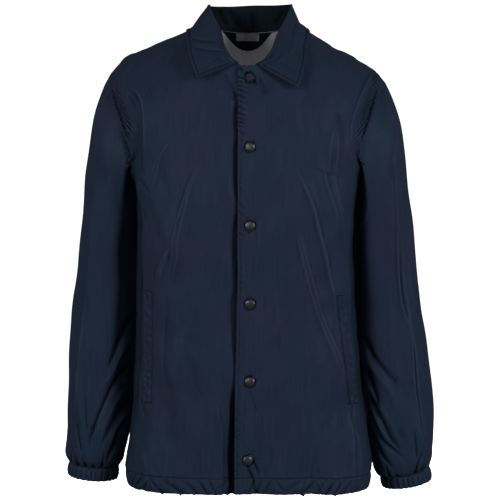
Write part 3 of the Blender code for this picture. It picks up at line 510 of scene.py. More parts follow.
sleeveForm = {
    "innerSquare": {"right": 1.75, "left": 3.4},  # how square the inner front quarter is
    "columns": ("along", "innerX", "innerZ", "outerX", "outerZ", "middleY", "depth", "square"),
    "right": (
        (0.07, 0.1900, -0.320, 0.2505, -0.134, 0.012, 0.085, 2.2),
        (0.18, 0.1895, -0.354, 0.2662, -0.212, 0.020, 0.081, 2.4),
        (0.31, 0.1885, -0.405, 0.2765, -0.300, 0.028, 0.078, 2.6),
        (0.47, 0.1890, -0.473, 0.2880, -0.412, 0.034, 0.076, 2.7),
        (0.62, 0.1910, -0.551, 0.2977, -0.514, 0.036, 0.075, 2.7),
        (0.78, 0.1965, -0.629, 0.3047, -0.609, 0.036, 0.075, 2.7),
        (0.90, 0.2040, -0.693, 0.3080, -0.684, 0.032, 0.072, 2.5),
        (0.96, 0.2115, -0.720, 0.3075, -0.715, 0.028, 0.062, 2.2),
        (1.00, 0.2219, -0.7400, 0.3038, -0.7315, 0.026, 0.044, 2.0),
    ),
    "left": (
        (0.07, 0.1790, -0.320, 0.2370, -0.134, 0.012, 0.085, 2.2),
        (0.18, 0.1770, -0.354, 0.2540, -0.212, 0.020, 0.081, 2.4),
        (0.31, 0.1755, -0.405, 0.2640, -0.300, 0.028, 0.078, 2.6),
        (0.47, 0.1765, -0.475, 0.2785, -0.414, 0.034, 0.076, 2.7),
        (0.62, 0.1815, -0.553, 0.2925, -0.518, 0.036, 0.075, 2.7),
        (0.78, 0.1915, -0.637, 0.3048, -0.615, 0.036, 0.075, 2.7),
        (0.90, 0.2020, -0.706, 0.3080, -0.693, 0.032, 0.072, 2.5),
        (0.96, 0.2095, -0.735, 0.3050, -0.724, 0.028, 0.062, 2.2),
        (1.00, 0.2203, -0.7545, 0.3015, -0.7400, 0.026, 0.044, 2.0),
    ),
}
sleeveLook = {
    "columns": 240, "rowShares": np.concatenate([np.linspace(0, 0.03, 17)[:-1], np.linspace(0.03, 0.80, 102)[:-1], np.linspace(0.80, 1, 72)]),
    "drape": ((1.5, 130, 81), (0.6, 64, 82)),
    "rightFront": (
        (1.2, 6, 2.4, ((-245, -200), (-249, -258), (-255, -315), (-261, -388), (-272, -470), (-282, -540), (-288, -610))),
        (1.0, 2.4, 2.4, ((-266, -440), (-276, -520), (-283, -590), (-284, -660))),
        (-7.0, 5, 6, ((-186, -470), (-210, -513), (-223, -544), (-236, -568))),
        (4.0, 5, 7, ((-190, -508), (-213, -545), (-230, -581), (-250, -606))),
        (-8.5, 5, 4, ((-194, -556), (-215, -582), (-230, -608), (-246, -640), (-260, -672), (-264, -706))),
        (3.6, 5, 5, ((-198, -594), (-222, -628), (-240, -668), (-250, -706))),
        (-7.5, 4.5, 4, ((-196, -618), (-216, -644), (-227, -664), (-243, -690))),
        (2.4, 4, 5, ((-200, -640), (-220, -668), (-236, -704))),
        (-7.0, 4, 4, ((-198, -646), (-212, -672), (-223, -696), (-232, -712), (-241, -730))),
        (-3.0, 3, 3, ((-286, -652), (-282, -680), (-274, -712))),
        (1.6, 7, 6, ((-284, -560), (-280, -620), (-270, -690))),
        (-1.6, 4, 4, ((-270, -600), (-268, -650), (-262, -700))),
        (1.2, 8, 8, ((-262, -420), (-252, -500), (-256, -580))),
        (-9.0, 9, 8, ((-206, -176), (-197, -205), (-191, -230), (-188, -262), (-187, -320))),  # falls back into the armpit
    ),
    "leftFront": (
        (2.6, 20, 3, ((207, -96), (225, -143), (237, -175), (234, -210), (232, -245), (237, -337), (247, -440))),
        (1.7, 3, 3, ((236, -330), (247, -453), (258, -491), (265, -529), (270, -591), (277, -637), (282, -700))),
        (1.2, 2.4, 2.4, ((244, -340), (256, -460), (271, -540), (277, -592), (284, -640), (290, -705))),
        (-1.2, 2, 2, ((240, -340), (251, -456), (268, -540), (273, -592), (280, -640), (286, -700))),
        (-7.5, 6, 5, ((184, -508), (197, -541), (221, -569), (248, -598))),
        (2.6, 7, 6, ((186, -540), (206, -574), (232, -606), (256, -650))),
        (-6.0, 5, 6, ((190, -560), (206, -610), (214, -640))),
        (3.0, 6, 7, ((190, -590), (214, -630), (236, -668), (258, -705))),
        (-8.5, 5, 4.5, ((190, -596), (203, -630), (218, -655), (229, -678), (254, -706))),
        (2.8, 4.5, 5, ((194, -624), (212, -662), (232, -690), (256, -716))),
        (-7.5, 4, 4, ((192, -630), (204, -664), (216, -684), (234, -698), (258, -714))),
        (-6.5, 4, 4, ((198, -672), (209, -699), (223, -719), (240, -734))),
        (-2.6, 3, 3, ((268, -664), (272, -694), (274, -724))),
        (1.4, 8, 8, ((228, -430), (236, -520), (248, -600))),
    ),
    "rightBack": (
        (4.0, 10, 9, ((-196, -300), (-222, -360), (-252, -410))),
        (-3.4, 8, 8, ((-194, -430), (-226, -480), (-262, -510))),
        (3.6, 9, 9, ((-196, -470), (-230, -540), (-262, -600))),
        (-4.2, 7, 7, ((-200, -560), (-228, -620), (-252, -680))),
        (3.0, 7, 7, ((-206, -620), (-232, -670), (-250, -715))),
        (1.2, 3, 5, ((-262, -250), (-276, -380), (-288, -540))),
    ),
    "leftBack": (
        (4.0, 9, 10, ((184, -305), (210, -366), (240, -414))),
        (-3.4, 8, 8, ((182, -440), (214, -486), (250, -516))),
        (3.6, 9, 9, ((184, -480), (220, -548), (256, -610))),
        (-4.2, 7, 7, ((192, -570), (222, -632), (250, -690))),
        (3.0, 7, 7, ((200, -640), (226, -684), (246, -722))),
        (1.4, 5, 3, ((248, -250), (264, -380), (282, -540))),
    ),
    "gathers": 18, "gatherDepth": 9.0, "gatherWidth": 3.0, "puff": 2.2,
    "strays": {"count": 16, "length": (20, 80), "height": (0.2, 0.5), "soft": (5, 9), "seed": 85},
    "seamDip": 4.0, "seamWidth": 2.4, "tuck": 1.8,
}


def sleeveGrid(side):
    size = named(sleeveForm["columns"], sleeveForm[side])
    first = bodyForm["rowsBelow"]
    edge = back[:, 0] if side == "right" else back[:, -1]
    armhole = np.concatenate([fronts[side][first:, -1], edge[first:][::-1][1:]])
    # The rows of the armhole swing and rise keep the share of the way round that they have in the solids.
    swing, rise = bodyForm["rowsSwing"], bodyForm["rowsRise"]
    half = np.concatenate([np.linspace(0, 6, swing + 1), np.linspace(6, 16, rise + 1)[1:]]) / 16
    armholeTurn = math.pi * np.concatenate([half, 2 - half[::-1][1:]])
    turn = np.linspace(0, 2 * math.pi, sleeveLook["columns"], endpoint=False)
    loop = np.stack([np.interp(turn, armholeTurn, armhole[:, axis]) for axis in range(3)], axis=1)
    plain = loop
    for _ in range(40):
        plain = (np.roll(plain, 1, axis=0) + 2 * plain + np.roll(plain, -1, axis=0)) / 4
    seam = 1 - ease(-np.cos(turn), 0.5, 0.9)  # level over the shoulder
    plain = loop + (plain - loop) * seam[:, None]
    rings = [plain]
    for row in range(len(size["along"])):
        inner, outer = (np.array([size[line + "X"][row] * sides[side], size["middleY"][row], size[line + "Z"][row]])
                        for line in ("inner", "outer"))
        inward = (np.cos(turn) > 0) & (np.sin(turn) > 0)
        power = 2 / np.where(inward, sleeveForm["innerSquare"][side], size["square"][row])
        across = -np.sign(np.cos(turn)) * np.abs(np.cos(turn)) ** power
        ahead = np.sign(np.sin(turn)) * np.abs(np.sin(turn)) ** power
        ring = (inner + outer) / 2 + across[:, None] * (outer - inner) / 2
        ring[:, 1] -= ahead * size["depth"][row]
        rings.append(ring)
    shares = sleeveLook["rowShares"]
    grid = through(np.concatenate([[0.0], size["along"]]), np.array(rings), shares)
    grid += (loop - plain) * np.exp(-(edgeRun(grid, "bottom") / 0.006) ** 2)[:, :, None]
    normal = normalsOf(grid, -sides[side], closed=True)
    x, y, z = (grid[:, :, axis] for axis in range(3))
    ahead = ease(-normal[:, :, 1], -0.25, 0.35)
    low, high = sorted((sides[side] * 195, sides[side] * 290))
    strays = [strayCreases(sleeveLook["strays"], (low, -720), (high, -180), int(sides[side]) + 2 * turned) for turned in (0, 1)]
    raised = creased(x, z, sleeveLook[side + "Front"] + strays[0]) * ahead
    raised += creased(x, z, sleeveLook[side + "Back"] + strays[1]) * (1 - ahead)
    for height, wave, seed in sleeveLook["drape"]:
        raised += height * mm * unevenness(x + 1.7 * y, z * 0.6, wave * mm, seed + int(sides[side]))
    down, up = edgeRun(grid, "bottom"), edgeRun(grid, "top")
    raised *= ease(down, 0, 0.02) * ease(up, 0, 0.012)
    dip = np.exp(-((down - 0.0025) / (sleeveLook["seamWidth"] * mm)) ** 2) * ease(down, 0, 0.003)
    raised -= sleeveLook["seamDip"] * mm * dip * seam
    # Gathers run up from the cuff, each with its own place, length and hook.
    draw = np.random.default_rng(91 if side == "right" else 92)
    girth = 0.30
    raised += sleeveLook["puff"] * mm * np.exp(-((up - 0.016) / 0.012) ** 2)
    for k in range(sleeveLook["gathers"]):
        place = 2 * math.pi * (k + draw.uniform(-0.28, 0.28)) / sleeveLook["gathers"]
        length, hook = draw.uniform(0.012, 0.040), draw.uniform(-0.009, 0.009)
        depth = sleeveLook["gatherDepth"] * mm * draw.uniform(0.55, 1.15)
        away = (np.mod(turn[None, :] - place + math.pi, 2 * math.pi) - math.pi) * girth / (2 * math.pi)
        away = away - hook * (up / 0.03) ** 1.6
        valley = np.exp(-1.4 * (np.sqrt((away / (sleeveLook["gatherWidth"] * mm)) ** 2 + 0.04) - 0.2))
        raised -= depth * valley * np.exp(-(up / length) ** 2) * ease(up, 0, 0.004)
    raised[0] = 0.0
    grid = grid + normal * raised[:, :, None]
    tuck = sleeveLook["tuck"] * mm * seam[:, None]
    grid[0] -= unit(grid[2] - grid[0]) * tuck + normal[2] * 0.9 * tuck
    # The sleeve's crease edges get painted highlight and painted shade on its front half.
    return grid, paintedCreaseLight(x, z, sleeveLook[side + "Front"]) * ahead


sleeves, sleevePaintedLight = {}, {}
for side in sides:
    sleeves[side], sleevePaintedLight[side] = sleeveGrid(side)
print("sleeves: %d x %d points each" % sleeves["left"].shape[:2])

# Cuffs: a narrow elastic casing, its cloth bunched in upright ribs

cuffLook = {"height": 0.020, "ribs": 27, "ribHeight": 4.2, "puff": 1.3, "columns": 270, "rows": 12, "cloth": 0.0014}


def cuffGrid(side):
    size = named(sleeveForm["columns"], sleeveForm[side])
    inner, outer = (np.array([size[line + "X"][-1] * sides[side], size["middleY"][-1], size[line + "Z"][-1]])
                    for line in ("inner", "outer"))
    across = outer - inner
    down = unit(np.array([-across[2], 0.0, across[0]]) * -sides[side])
    turn = np.linspace(0.0, 2 * math.pi, cuffLook["columns"], endpoint=False)
    ring = (inner + outer) / 2 - np.cos(turn)[:, None] * across / 2
    ring[:, 1] -= np.sin(turn) * size["depth"][-1]
    away = unit(ring - (inner + outer) / 2)
    rings = []
    for share in np.linspace(0.0, 1.0, cuffLook["rows"]):
        bend = 1.1 * np.sin(3 * turn + 0.6) + 0.7 * np.sin(7 * turn + 2.0) + 0.35 * share * np.sin(5 * turn)
        rib = np.abs(np.cos((cuffLook["ribs"] * turn + bend) / 2)) ** 0.5 - 0.62
        uneven = 0.75 + 0.35 * np.sin(4 * turn + 1.0) * np.sin(9 * turn)
        out = cuffLook["ribHeight"] * rib * uneven * min(1.0, 6 * share) * (0.6 + 0.4 * math.sin(math.pi * share))
        out = out + cuffLook["puff"] * math.sin(math.pi * share) ** 0.7
        row = ring + down * (0.0002 + cuffLook["height"] * share) + away * out[:, None] * mm
        rings.append(row + down * (0.5 * mm * rib * share)[:, None])
    rings.insert(0, rings[0] - down * 0.003 - away * 0.0016)  # tucked under the sleeve
    return np.array(rings)


cuffs = {side: cuffGrid(side) for side in sides}

# Hem casing: hangs from the panels' lowest rows, gathered by the cord inside it

hemLook = {
    "height": 0.027, "taper": 0.003, "puff": 1.5, "rows": 14, "cloth": 0.0014,
    "zone": 70,  # how long a stretch of gathers leans one way
    "wide": {"pitch": 19, "height": 3.4, "reach": 36, "middle": 20, "slant": 0.7, "uneven": 3.2, "seed": 102},
    "fine": {"pitch": 13, "height": 2.6, "reach": 34, "middle": 16, "slant": -0.6, "uneven": 3.2, "seed": 112},
}


def hemGrid(grid, normal, count, calmStart, calmEnd, seed, under=0.0, drag=0.0):
    # under: how much lower the lapped end hangs; drag: how far the crease from the lowest snap runs aside
    edge, out = grid[0], normal[0]
    run = np.concatenate([[0.0], np.cumsum(np.linalg.norm(np.diff(edge, axis=0), axis=1))])
    at = np.linspace(0, run[-1], count)
    top = np.stack([np.interp(at, run, edge[:, axis]) for axis in range(3)], axis=1)
    out = unit(np.stack([np.interp(at, run, out[:, axis]) for axis in range(3)], axis=1))
    calm = (0.2 + 0.8 * ease(at, 0, calmStart)) * (0.2 + 0.8 * ease(run[-1] - at, 0, calmEnd))
    rows = []
    for share in np.linspace(0, 1, hemLook["rows"]):
        away = np.full(count, share * hemLook["height"])
        wide, fine = (puckered(away, at, dict(hemLook[name], seed=hemLook[name]["seed"] + seed)) for name in ("wide", "fine"))
        lean = ease(unevenness(at, 0 * at, hemLook["zone"] * mm, seed), -0.5, 0.5)
        wave = (wide * lean + fine * (1 - lean)) * calm * min(1.0, 5 * share)
        row = top + out * (wave + hemLook["puff"] * mm * math.sin(math.pi * share) - hemLook["taper"] * share)[:, None]
        row[:, 2] -= 0.0002 + away - 0.8 * wave * share + under * share * ease(at, 0.043, 0.053) * (1 - ease(at, 0.062, 0.085))
        aside = drag * share * np.exp(-((at - 0.032) / 0.03) ** 2)
        row[:, 1] += np.interp(at - aside, run, edge[:, 1]) - top[:, 1]
        rows.append(row)
    rows.insert(0, rows[0] + np.array([0, 0, 0.003]) - out * 0.0016)  # tucked under the panel
    return np.array(rows)


frontNormals = {side: normalsOf(fronts[side], sides[side]) for side in sides}
backNormals = normalsOf(back, -1.0)
hems = {
    "front_right": hemGrid(fronts["right"], frontNormals["right"], 200, 0.09, 0.01, 0, under=0.005),
    "front_left": hemGrid(fronts["left"], frontNormals["left"], 200, 0.06, 0.01, 3, drag=0.007),
    "back": hemGrid(back, backNormals, 300, 0.01, 0.01, 6),
}
print("cuffs and hem casing gathered")


def surfaceTree(grids):  # for laying one cloth on others; turned grids face the other way
    points, faces = [], []
    for grid, turned in grids:
        rows, columns = grid.shape[:2]
        offset = len(points)
        points.extend(grid.reshape(-1, 3).tolist())
        first = (np.arange(rows - 1)[:, None] * columns + np.arange(columns - 1)[None, :]).ravel() + offset
        quads = np.stack([first, first + 1, first + columns + 1, first + columns], axis=1)
        faces.extend((quads if turned > 0 else quads[:, ::-1]).tolist())
    return BVHTree.FromPolygons(points, faces)


# Collar: a stand that rises inside and a fall that turns over it, two layers of cloth sewn round the edge

collarForm = {
    "ends": {"right": 0.018, "left": 0.008}, "roll": 0.0028, "bulge": 0.0015, "clear": 0.0030, "cloth": 0.0012,
    "columns": 385, "standRows": 16, "fallRows": 50,
    "stand": named(("share", "height", "lean"), (
        (0.00, 0.0025, 0.000), (0.06, 0.012, 0.010), (0.12, 0.021, 0.019), (0.20, 0.027, 0.014), (0.29, 0.028, 0.010),
        (0.40, 0.039, 0.006), (0.50, 0.045, 0.003), (0.60, 0.039, 0.006), (0.71, 0.028, 0.010),
        (0.80, 0.027, 0.014), (0.88, 0.021, 0.019), (0.94, 0.012, 0.010), (1.00, 0.0025, 0.000))),
    "edge": named(("share", "x", "y", "z"), (
        (0.00, -0.082, -0.126, -0.101), (0.10, -0.095, -0.102, -0.064), (0.20, -0.101, -0.048, -0.030),
        (0.29, -0.098, 0.012, -0.018), (0.38, -0.078, 0.070, -0.028), (0.50, 0.000, 0.100, -0.042),
        (0.62, 0.075, 0.070, -0.030), (0.71, 0.088, 0.012, -0.020), (0.80, 0.090, -0.050, -0.036),
        (0.90, 0.086, -0.104, -0.076), (1.00, 0.075, -0.127, -0.116))),
}
collarLook = {
    "stitchInset": 6.4, "groove": 1.2,
    "fall": (  # on the wings, by x and z
        (-2.6, 2.4, 4, ((-98, -32), (-73, -37), (-50, -38))),
        (-2.8, 2.4, 4, ((-92, -49), (-63, -53), (-36, -54))),
        (1.6, 4, 3, ((-94, -43), (-66, -46), (-44, -46))),
        (-0.6, 2, 3, ((-62, -84), (-47, -74), (-34, -66))),
        (-0.6, 2, 3, ((-70, -80), (-56, -70), (-42, -62))),
        (-1.8, 8, 8, ((48, -70), (62, -84), (76, -94))),
        (1.6, 5, 5, ((40, -72), (58, -62), (76, -44))),
        (1.4, 3, 3, ((70, -22), (82, -34), (88, -44))),
    ),
    "standFolds": (  # inside the back of the neck, by x and z
        (-4.4, 4, 5, ((-50, 26), (-44, 12), (-36, -2))),
        (-4.0, 4, 5, ((-34, 26), (-24, 8), (-16, -8))),
        (3.6, 5, 4, ((-22, 28), (-14, 10), (-8, -6))),
        (-4.0, 3, 4, ((2, 26), (4, 10), (8, -8))),
        (3.0, 3, 4, ((10, 26), (8, 12), (4, 0))),
        (-4.0, 5, 4, ((56, 22), (46, 10), (36, -4))),
    ),
    "pucker": {"pitch": 6.0, "height": 0.9, "reach": 8, "middle": 3.4, "slant": 0.8, "seed": 121},
}


def neckSeam():
    columns = collarForm["columns"]
    upTo = int(round(bodyForm["neckShare"]["front"] * (frontLook["columns"] - 1))) + 1
    middle = backLook["halfColumns"]
    reach = int(round(middle * bodyForm["neckShare"]["back"]))
    behind = back[-1, middle - reach:middle + reach + 1]
    ahead = {}
    for side in sides:
        line = pointsAt(fronts[side][-1, :upTo], np.linspace(0, 1, 240))
        ahead[side] = line[line[:, 0] * sides[side] >= collarForm["ends"][side]]
    whole = np.concatenate([ahead["right"][:-1], behind, ahead["left"][::-1][1:]])
    return pointsAt(whole, np.linspace(0, 1, columns))


def liftOff(tree, grid, clear, spread):
    # How far each point must move to lie clear of the body, spread over its neighbours so that no dent is left.
    push = np.zeros_like(grid)
    for place in np.ndindex(grid.shape[:2]):
        point = Vector(grid[place])
        spot, normal, _, _ = tree.find_nearest(point)
        gap, far = (point - spot).dot(normal), (point - spot).length
        # Beyond an edge of the body nothing is in the way, and a face that looks down is the cloth's own fold.
        if normal.z > -0.2 and (far < clear or (gap < -0.5 * far and far < 0.012)):
            push[place] = np.array(normal) * max(0.0, clear - gap)
    for _ in range(spread):
        for axis in (0, 1):
            ahead, behind = np.roll(push, -1, axis), np.roll(push, 1, axis)
            edge = [slice(None)] * 2
            edge[axis] = [0, -1]
            kept = push[tuple(edge)].copy()
            push = (ahead + 2 * push + behind) / 4
            push[tuple(edge)] = kept
    push[0] = 0.0
    return push


def collarGrid(tree):
    form = collarForm
    share = np.linspace(0.0, 1.0, form["columns"])
    height, lean = (through(form["stand"]["share"], form["stand"][name], share) for name in ("height", "lean"))
    edge = through(form["edge"]["share"], np.stack([form["edge"][name] for name in "xyz"], axis=1), share)
    up = np.array([0.0, 0.0, 1.0])
    base = neckSeam() + up * 0.0003
    top = base - unit(base * (1, 1, 0)) * lean[:, None] + up * height[:, None]
    outward = unit((edge - top) * (1, 1, 0))
    roll = np.minimum(form["roll"], height * 0.45)[:, None]
    hinge = top - up * roll + outward * roll
    inside = hinge - outward * roll
    rows = [base + (inside - base) * part for part in np.linspace(0, 1, form["standRows"])[:-1]]
    for angle in np.linspace(math.pi, 0, 9):
        rows.append(hinge + roll * (outward * math.cos(angle) + up * math.sin(angle)))
    start = rows[-1]
    for part in np.linspace(0, 1, form["fallRows"])[1:]:
        bulge = form["bulge"] * math.sin(math.pi * part) * height / height.max()
        rows.append(start + (edge - start) * part + (outward + up) * bulge[:, None])
    grid = np.array(rows)
    first = form["standRows"] + 8
    for spread in (6, 6, 5, 5, 4, 4, 3, 3, 2, 0):
        grid[first:] += liftOff(tree, grid[first:], form["clear"], spread)
    over = 0.5 * ease(np.abs(share - 0.5), 0.08, 0.12) * ease(-np.abs(share - 0.5), -0.38, -0.32)
    for _ in range(16):  # eases what the shoulder seam leaves in the fall
        fall = grid[first:]
        fall[:, 1:-1] += over[1:-1, None] * ((fall[:, :-2] + fall[:, 2:]) / 2 - fall[:, 1:-1])
    normal = normalsOf(grid, 1.0)
    x, z = grid[:, :, 0], grid[:, :, 2]
    rowShare = np.arange(len(grid))[:, None] / (len(grid) - 1) + 0 * x
    standEnd, fallStart = form["standRows"] / len(grid), (form["standRows"] + 10) / len(grid)
    onFall = ease(rowShare, fallStart - 0.05, fallStart + 0.05) * ease(-grid[:, :, 1], -0.03, 0.02)
    onStand = (1 - ease(rowShare, standEnd - 0.02, standEnd + 0.06)) * ease(grid[:, :, 1], 0.0, 0.03)
    ends = np.minimum(edgeRun(grid, "start"), edgeRun(grid, "end"))
    fromEdge = np.minimum(edgeRun(grid, "top"), ends)
    raised = creased(x, z, collarLook["fall"]) * onFall
    raised += creased(x, z, collarLook["standFolds"]) * onStand * ease(edgeRun(grid, "bottom"), 0, 0.004)
    fall = ease(rowShare, fallStart, fallStart + 0.08)
    inset = collarLook["stitchInset"] * mm
    raised -= collarLook["groove"] * mm * np.exp(-((fromEdge - inset) / 0.0014) ** 2) * fall
    strength = 0.35 + 0.65 * ease(x, 0.05, 0.08)
    raised += puckered(fromEdge, edgeRun(grid, "start") + edgeRun(grid, "bottom"), collarLook["pucker"]) * strength * fall
    return grid + normal * raised[:, :, None]


bodyTree = surfaceTree([(fronts["right"][::2, ::2], -1), (fronts["left"][::2, ::2], 1), (back[::2, ::2], -1)])
collar = collarGrid(bodyTree)
print("collar: %d x %d points" % collar.shape[:2])

# Pocket welts, neck facing and label, laid on their panels

weltLook = {
    "right": (0.1530, 0.1680, -0.432, 0.1560, 0.1705, -0.612),  # inner and outer x, z at the top, then at the bottom
    "left": (0.1350, 0.1490, -0.438, 0.1590, 0.1730, -0.616),
    "rows": 120, "columns": 14, "clear": 0.0016, "cloth": 0.0009, "crumple": 0.45,
    "pucker": {"pitch": 10.0, "height": 0.5, "reach": 9, "middle": 3.0, "slant": 0.9, "uneven": 3.4, "seed": 141},
}
neckLook = {
    "facingHalf": 0.042, "facingDrop": 0.0278, "facingStart": 0.0012, "labelHalf": 0.0195, "labelDrop": 0.0115, "shift": -0.004,
    "clear": 0.0014, "labelClear": 0.0030, "cloth": 0.0006,
}


def laid(tree, places, clear):
    grid = []
    for line in places:
        row = []
        for x, z in line:
            spot, normal, _, _ = tree.ray_cast(Vector((x, -1.0, z)), Vector((0.0, 1.0, 0.0)))
            row.append(np.array(spot + normal * clear))
        grid.append(row)
    return np.array(grid)


def weltGrid(side):
    look = weltLook
    topIn, topOut, top, lowIn, lowOut, low = look[side]
    places = []
    for down in np.linspace(0, 1, look["rows"]):
        inner, outer = topIn + (lowIn - topIn) * down, topOut + (lowOut - topOut) * down
        places.append([(sides[side] * x, top + (low - top) * down) for x in np.linspace(inner, outer, look["columns"])])
    grid = laid(surfaceTree([(fronts[side], sides[side])]), places, look["clear"])
    normal = normalsOf(grid, -sides[side])
    x, z = grid[:, :, 0], grid[:, :, 2]
    edge = np.minimum(edgeRun(grid, "start"), edgeRun(grid, "end"))
    ends = np.minimum(edgeRun(grid, "top"), edgeRun(grid, "bottom"))
    raised = look["crumple"] * mm * np.maximum(unevenness(x * 1.4 + z * 0.4, z, 0.013, 131 + int(sides[side])), -0.9)
    raised += 0.0006 * np.sin(math.pi * np.clip(edge / 0.0075, 0, 1))
    raised += np.maximum(puckered(edgeRun(grid, "start"), z, look["pucker"]) + puckered(edgeRun(grid, "end"), z, look["pucker"]), -0.8 * mm)
    return grid + normal * (raised * ease(edge, -0.002, 0.003) * ease(ends, 0, 0.006))[:, :, None]


welts = {side: weltGrid(side) for side in sides}
innerBack = back - backNormals * bodyForm["cloth"]
innerTree = surfaceTree([(innerBack, 1)])


def facingGrid():
    look, places = neckLook, []
    for down in np.linspace(0, 1, 26):
        line = []
        for across in np.linspace(-1, 1, 49):
            lift = math.sqrt(1 - ((across * look["facingHalf"] + look["shift"]) / bodyForm["neckHalf"]) ** 2) ** bodyForm["neckCurve"]
            drop = look["facingDrop"] * (0.002 + (1 - abs(across) ** 2.2) ** 1.2)
            line.append((across * look["facingHalf"] + look["shift"], -bodyForm["neckDrop"]["back"] * lift - look["facingStart"] - drop * down))
        places.append(line)
    return laid(innerTree, places, look["clear"])


def labelGrid():
    look = neckLook
    top = -bodyForm["neckDrop"]["back"] - look["facingStart"]
    places = [[(x + look["shift"], top - look["labelDrop"] * down) for x in np.linspace(-look["labelHalf"], look["labelHalf"], 41)]
              for down in np.linspace(0, 1, 17)]
    grid = laid(innerTree, places, look["labelClear"])
    x, z = grid[:, :, 0], grid[:, :, 2]
    grid[:, :, 1] -= 0.0006 * np.sin((x * 0.9 + (z - top) * 1.6) / 0.0062) * ease(top - z, 0, 0.006)
    return grid


facing, label = facingGrid(), labelGrid()
print("welts, facing and label laid")


# Finishes

def linear(text):  # sRGB hex to the linear colour that shaders take
    values = [int(text[i:i + 2], 16) / 255 for i in (1, 3, 5)]
    return tuple(v / 12.92 if v <= 0.04045 else ((v + 0.055) / 1.055) ** 2.4 for v in values) + (1.0,)


def addNode(tree, kind, settings=None, links=None):
    node = tree.nodes.new(kind)
    for key, value in (settings or {}).items():
        if isinstance(key, int) or key in node.inputs:
            node.inputs[key].default_value = value
        else:
            setattr(node, key, value)
    for key, (source, output) in (links or {}).items():
        tree.links.new(source.outputs[output], node.inputs[key])
    return node


def newFinish(name, shader):
    made = bpy.data.materials.new(name)
    made.use_nodes = True
    tree = made.node_tree
    principled = tree.nodes["Principled BSDF"]
    for key, value in shader.items():
        principled.inputs[key].default_value = value
    return made, tree, principled


def wovenFinish(name, light, dark, shader, weave):
    # Woven cloth: two close tones in soft clouds, threads crossing in the cloth's own grid, small crinkles between; a
    # point attribute paints highlight and shade into the tones.
    made, tree, principled = newFinish(name, shader)
    grid = addNode(tree, "ShaderNodeUVMap", {"uv_map": "clothGrid"})
    place = addNode(tree, "ShaderNodeTexCoord")
    cloud = addNode(tree, "ShaderNodeTexNoise", {"Scale": 1 / (weave["cloud"] * mm), "Detail": 3.0, "Roughness": 0.55},
                    {"Vector": (place, "Object")})
    tone = addNode(tree, "ShaderNodeValToRGB", links={"Fac": (cloud, "Fac")})
    tone.color_ramp.elements[0].position, tone.color_ramp.elements[1].position = 0.34, 0.66
    tone.color_ramp.elements[0].color, tone.color_ramp.elements[1].color = linear(dark), linear(light)
    long = addNode(tree, "ShaderNodeMapping", {"Scale": (1 / (weave["streak"][0] * mm), 1 / (weave["streak"][1] * mm), 1.0)},
                   {"Vector": (grid, "UV")})
    streak = addNode(tree, "ShaderNodeTexNoise", {"Scale": 1.0, "Detail": 3.0, "Roughness": 0.6}, {"Vector": (long, "Vector")})
    depth = addNode(tree, "ShaderNodeMapRange", {"From Min": 0.3, "From Max": 0.7, "To Min": 1 - weave["streak"][2],
                                                 "To Max": 1 + weave["streak"][2]}, {"Value": (streak, "Fac")})
    # Painted light: the point attribute makes crease edges and ridges paler as painted highlight, and valleys darker as
    # painted shade.
    paintedLight = addNode(tree, "ShaderNodeAttribute", {"attribute_name": "paintedLight"})
    paintedShading = addNode(tree, "ShaderNodeMath", {"operation": "MULTIPLY_ADD", 1: weave["paintedShading"]},
                     {0: (paintedLight, "Fac"), 2: (depth, "Result")})
    shade = addNode(tree, "ShaderNodeHueSaturation", links={"Color": (tone, "Color"), "Value": (paintedShading, "Value")})
    tree.links.new(shade.outputs["Color"], principled.inputs["Base Color"])
    threads = []
    for direction in ("X", "Y"):
        threads.append(addNode(tree, "ShaderNodeTexWave", {
            "wave_type": "BANDS", "bands_direction": direction, "wave_profile": "SIN",
            "Scale": 0.314 / (weave["thread"] * mm), "Distortion": 0.6, "Detail": 1.0}, {"Vector": (grid, "UV")}))
    crossing = addNode(tree, "ShaderNodeMath", {"operation": "MULTIPLY"}, {0: (threads[0], "Fac"), 1: (threads[1], "Fac")})
    crinkle = addNode(tree, "ShaderNodeTexNoise", {"Scale": 1 / (weave["crinkle"] * mm), "Detail": 4.0, "Roughness": 0.5},
                      {"Vector": (place, "Object")})
    spread = addNode(tree, "ShaderNodeMapRange", {"To Min": weave["rough"][0], "To Max": weave["rough"][1]},
                     {"Value": (crinkle, "Fac")})
    tree.links.new(spread.outputs["Result"], principled.inputs["Roughness"])
    soft = addNode(tree, "ShaderNodeBump", {"Strength": weave["crinkleBump"], "Distance": 0.001}, {"Height": (crinkle, "Fac")})
    fine = addNode(tree, "ShaderNodeBump", {"Strength": weave["threadBump"], "Distance": 0.0003},
                   {"Height": (crossing, "Value"), "Normal": (soft, "Normal")})
    tree.links.new(fine.outputs["Normal"], principled.inputs["Normal"])
    return made


# Nylon taffeta, calendered: a close plain weave pressed smooth, so folds carry broad satin lights on deep navy.
# Threads lie 0.2 mm apart; they are drawn 0.9 mm apart so that they show at all.
nylonWeave = {"cloud": 110, "paintedShading": 0.6, "streak": (2.0, 60, 0.20), "thread": 0.9, "crinkle": 7, "rough": (0.39, 0.48), "crinkleBump": 0.08,
              "threadBump": 0.10}
nylon = wovenFinish("nylonTaffetaCalendered", "#23293a", "#1e2a39",
                    {"IOR": 1.53, "Specular IOR Level": 0.36, "Specular Tint": linear("#a6b6d4"), "Sheen Weight": 0.03, "Sheen Roughness": 0.45,
                     "Sheen Tint": linear("#8fa3c8")}, nylonWeave)
# The wrong side, coated and matt: pale cloth drawn mid grey, partly painted shade for the inside seen down the open
# neck.
nylonInside = wovenFinish("nylonTaffetaCoatedSide", "#85858a", "#7b7b80", {"IOR": 1.50},
                          dict(nylonWeave, rough=(0.55, 0.65), crinkleBump=0.12))
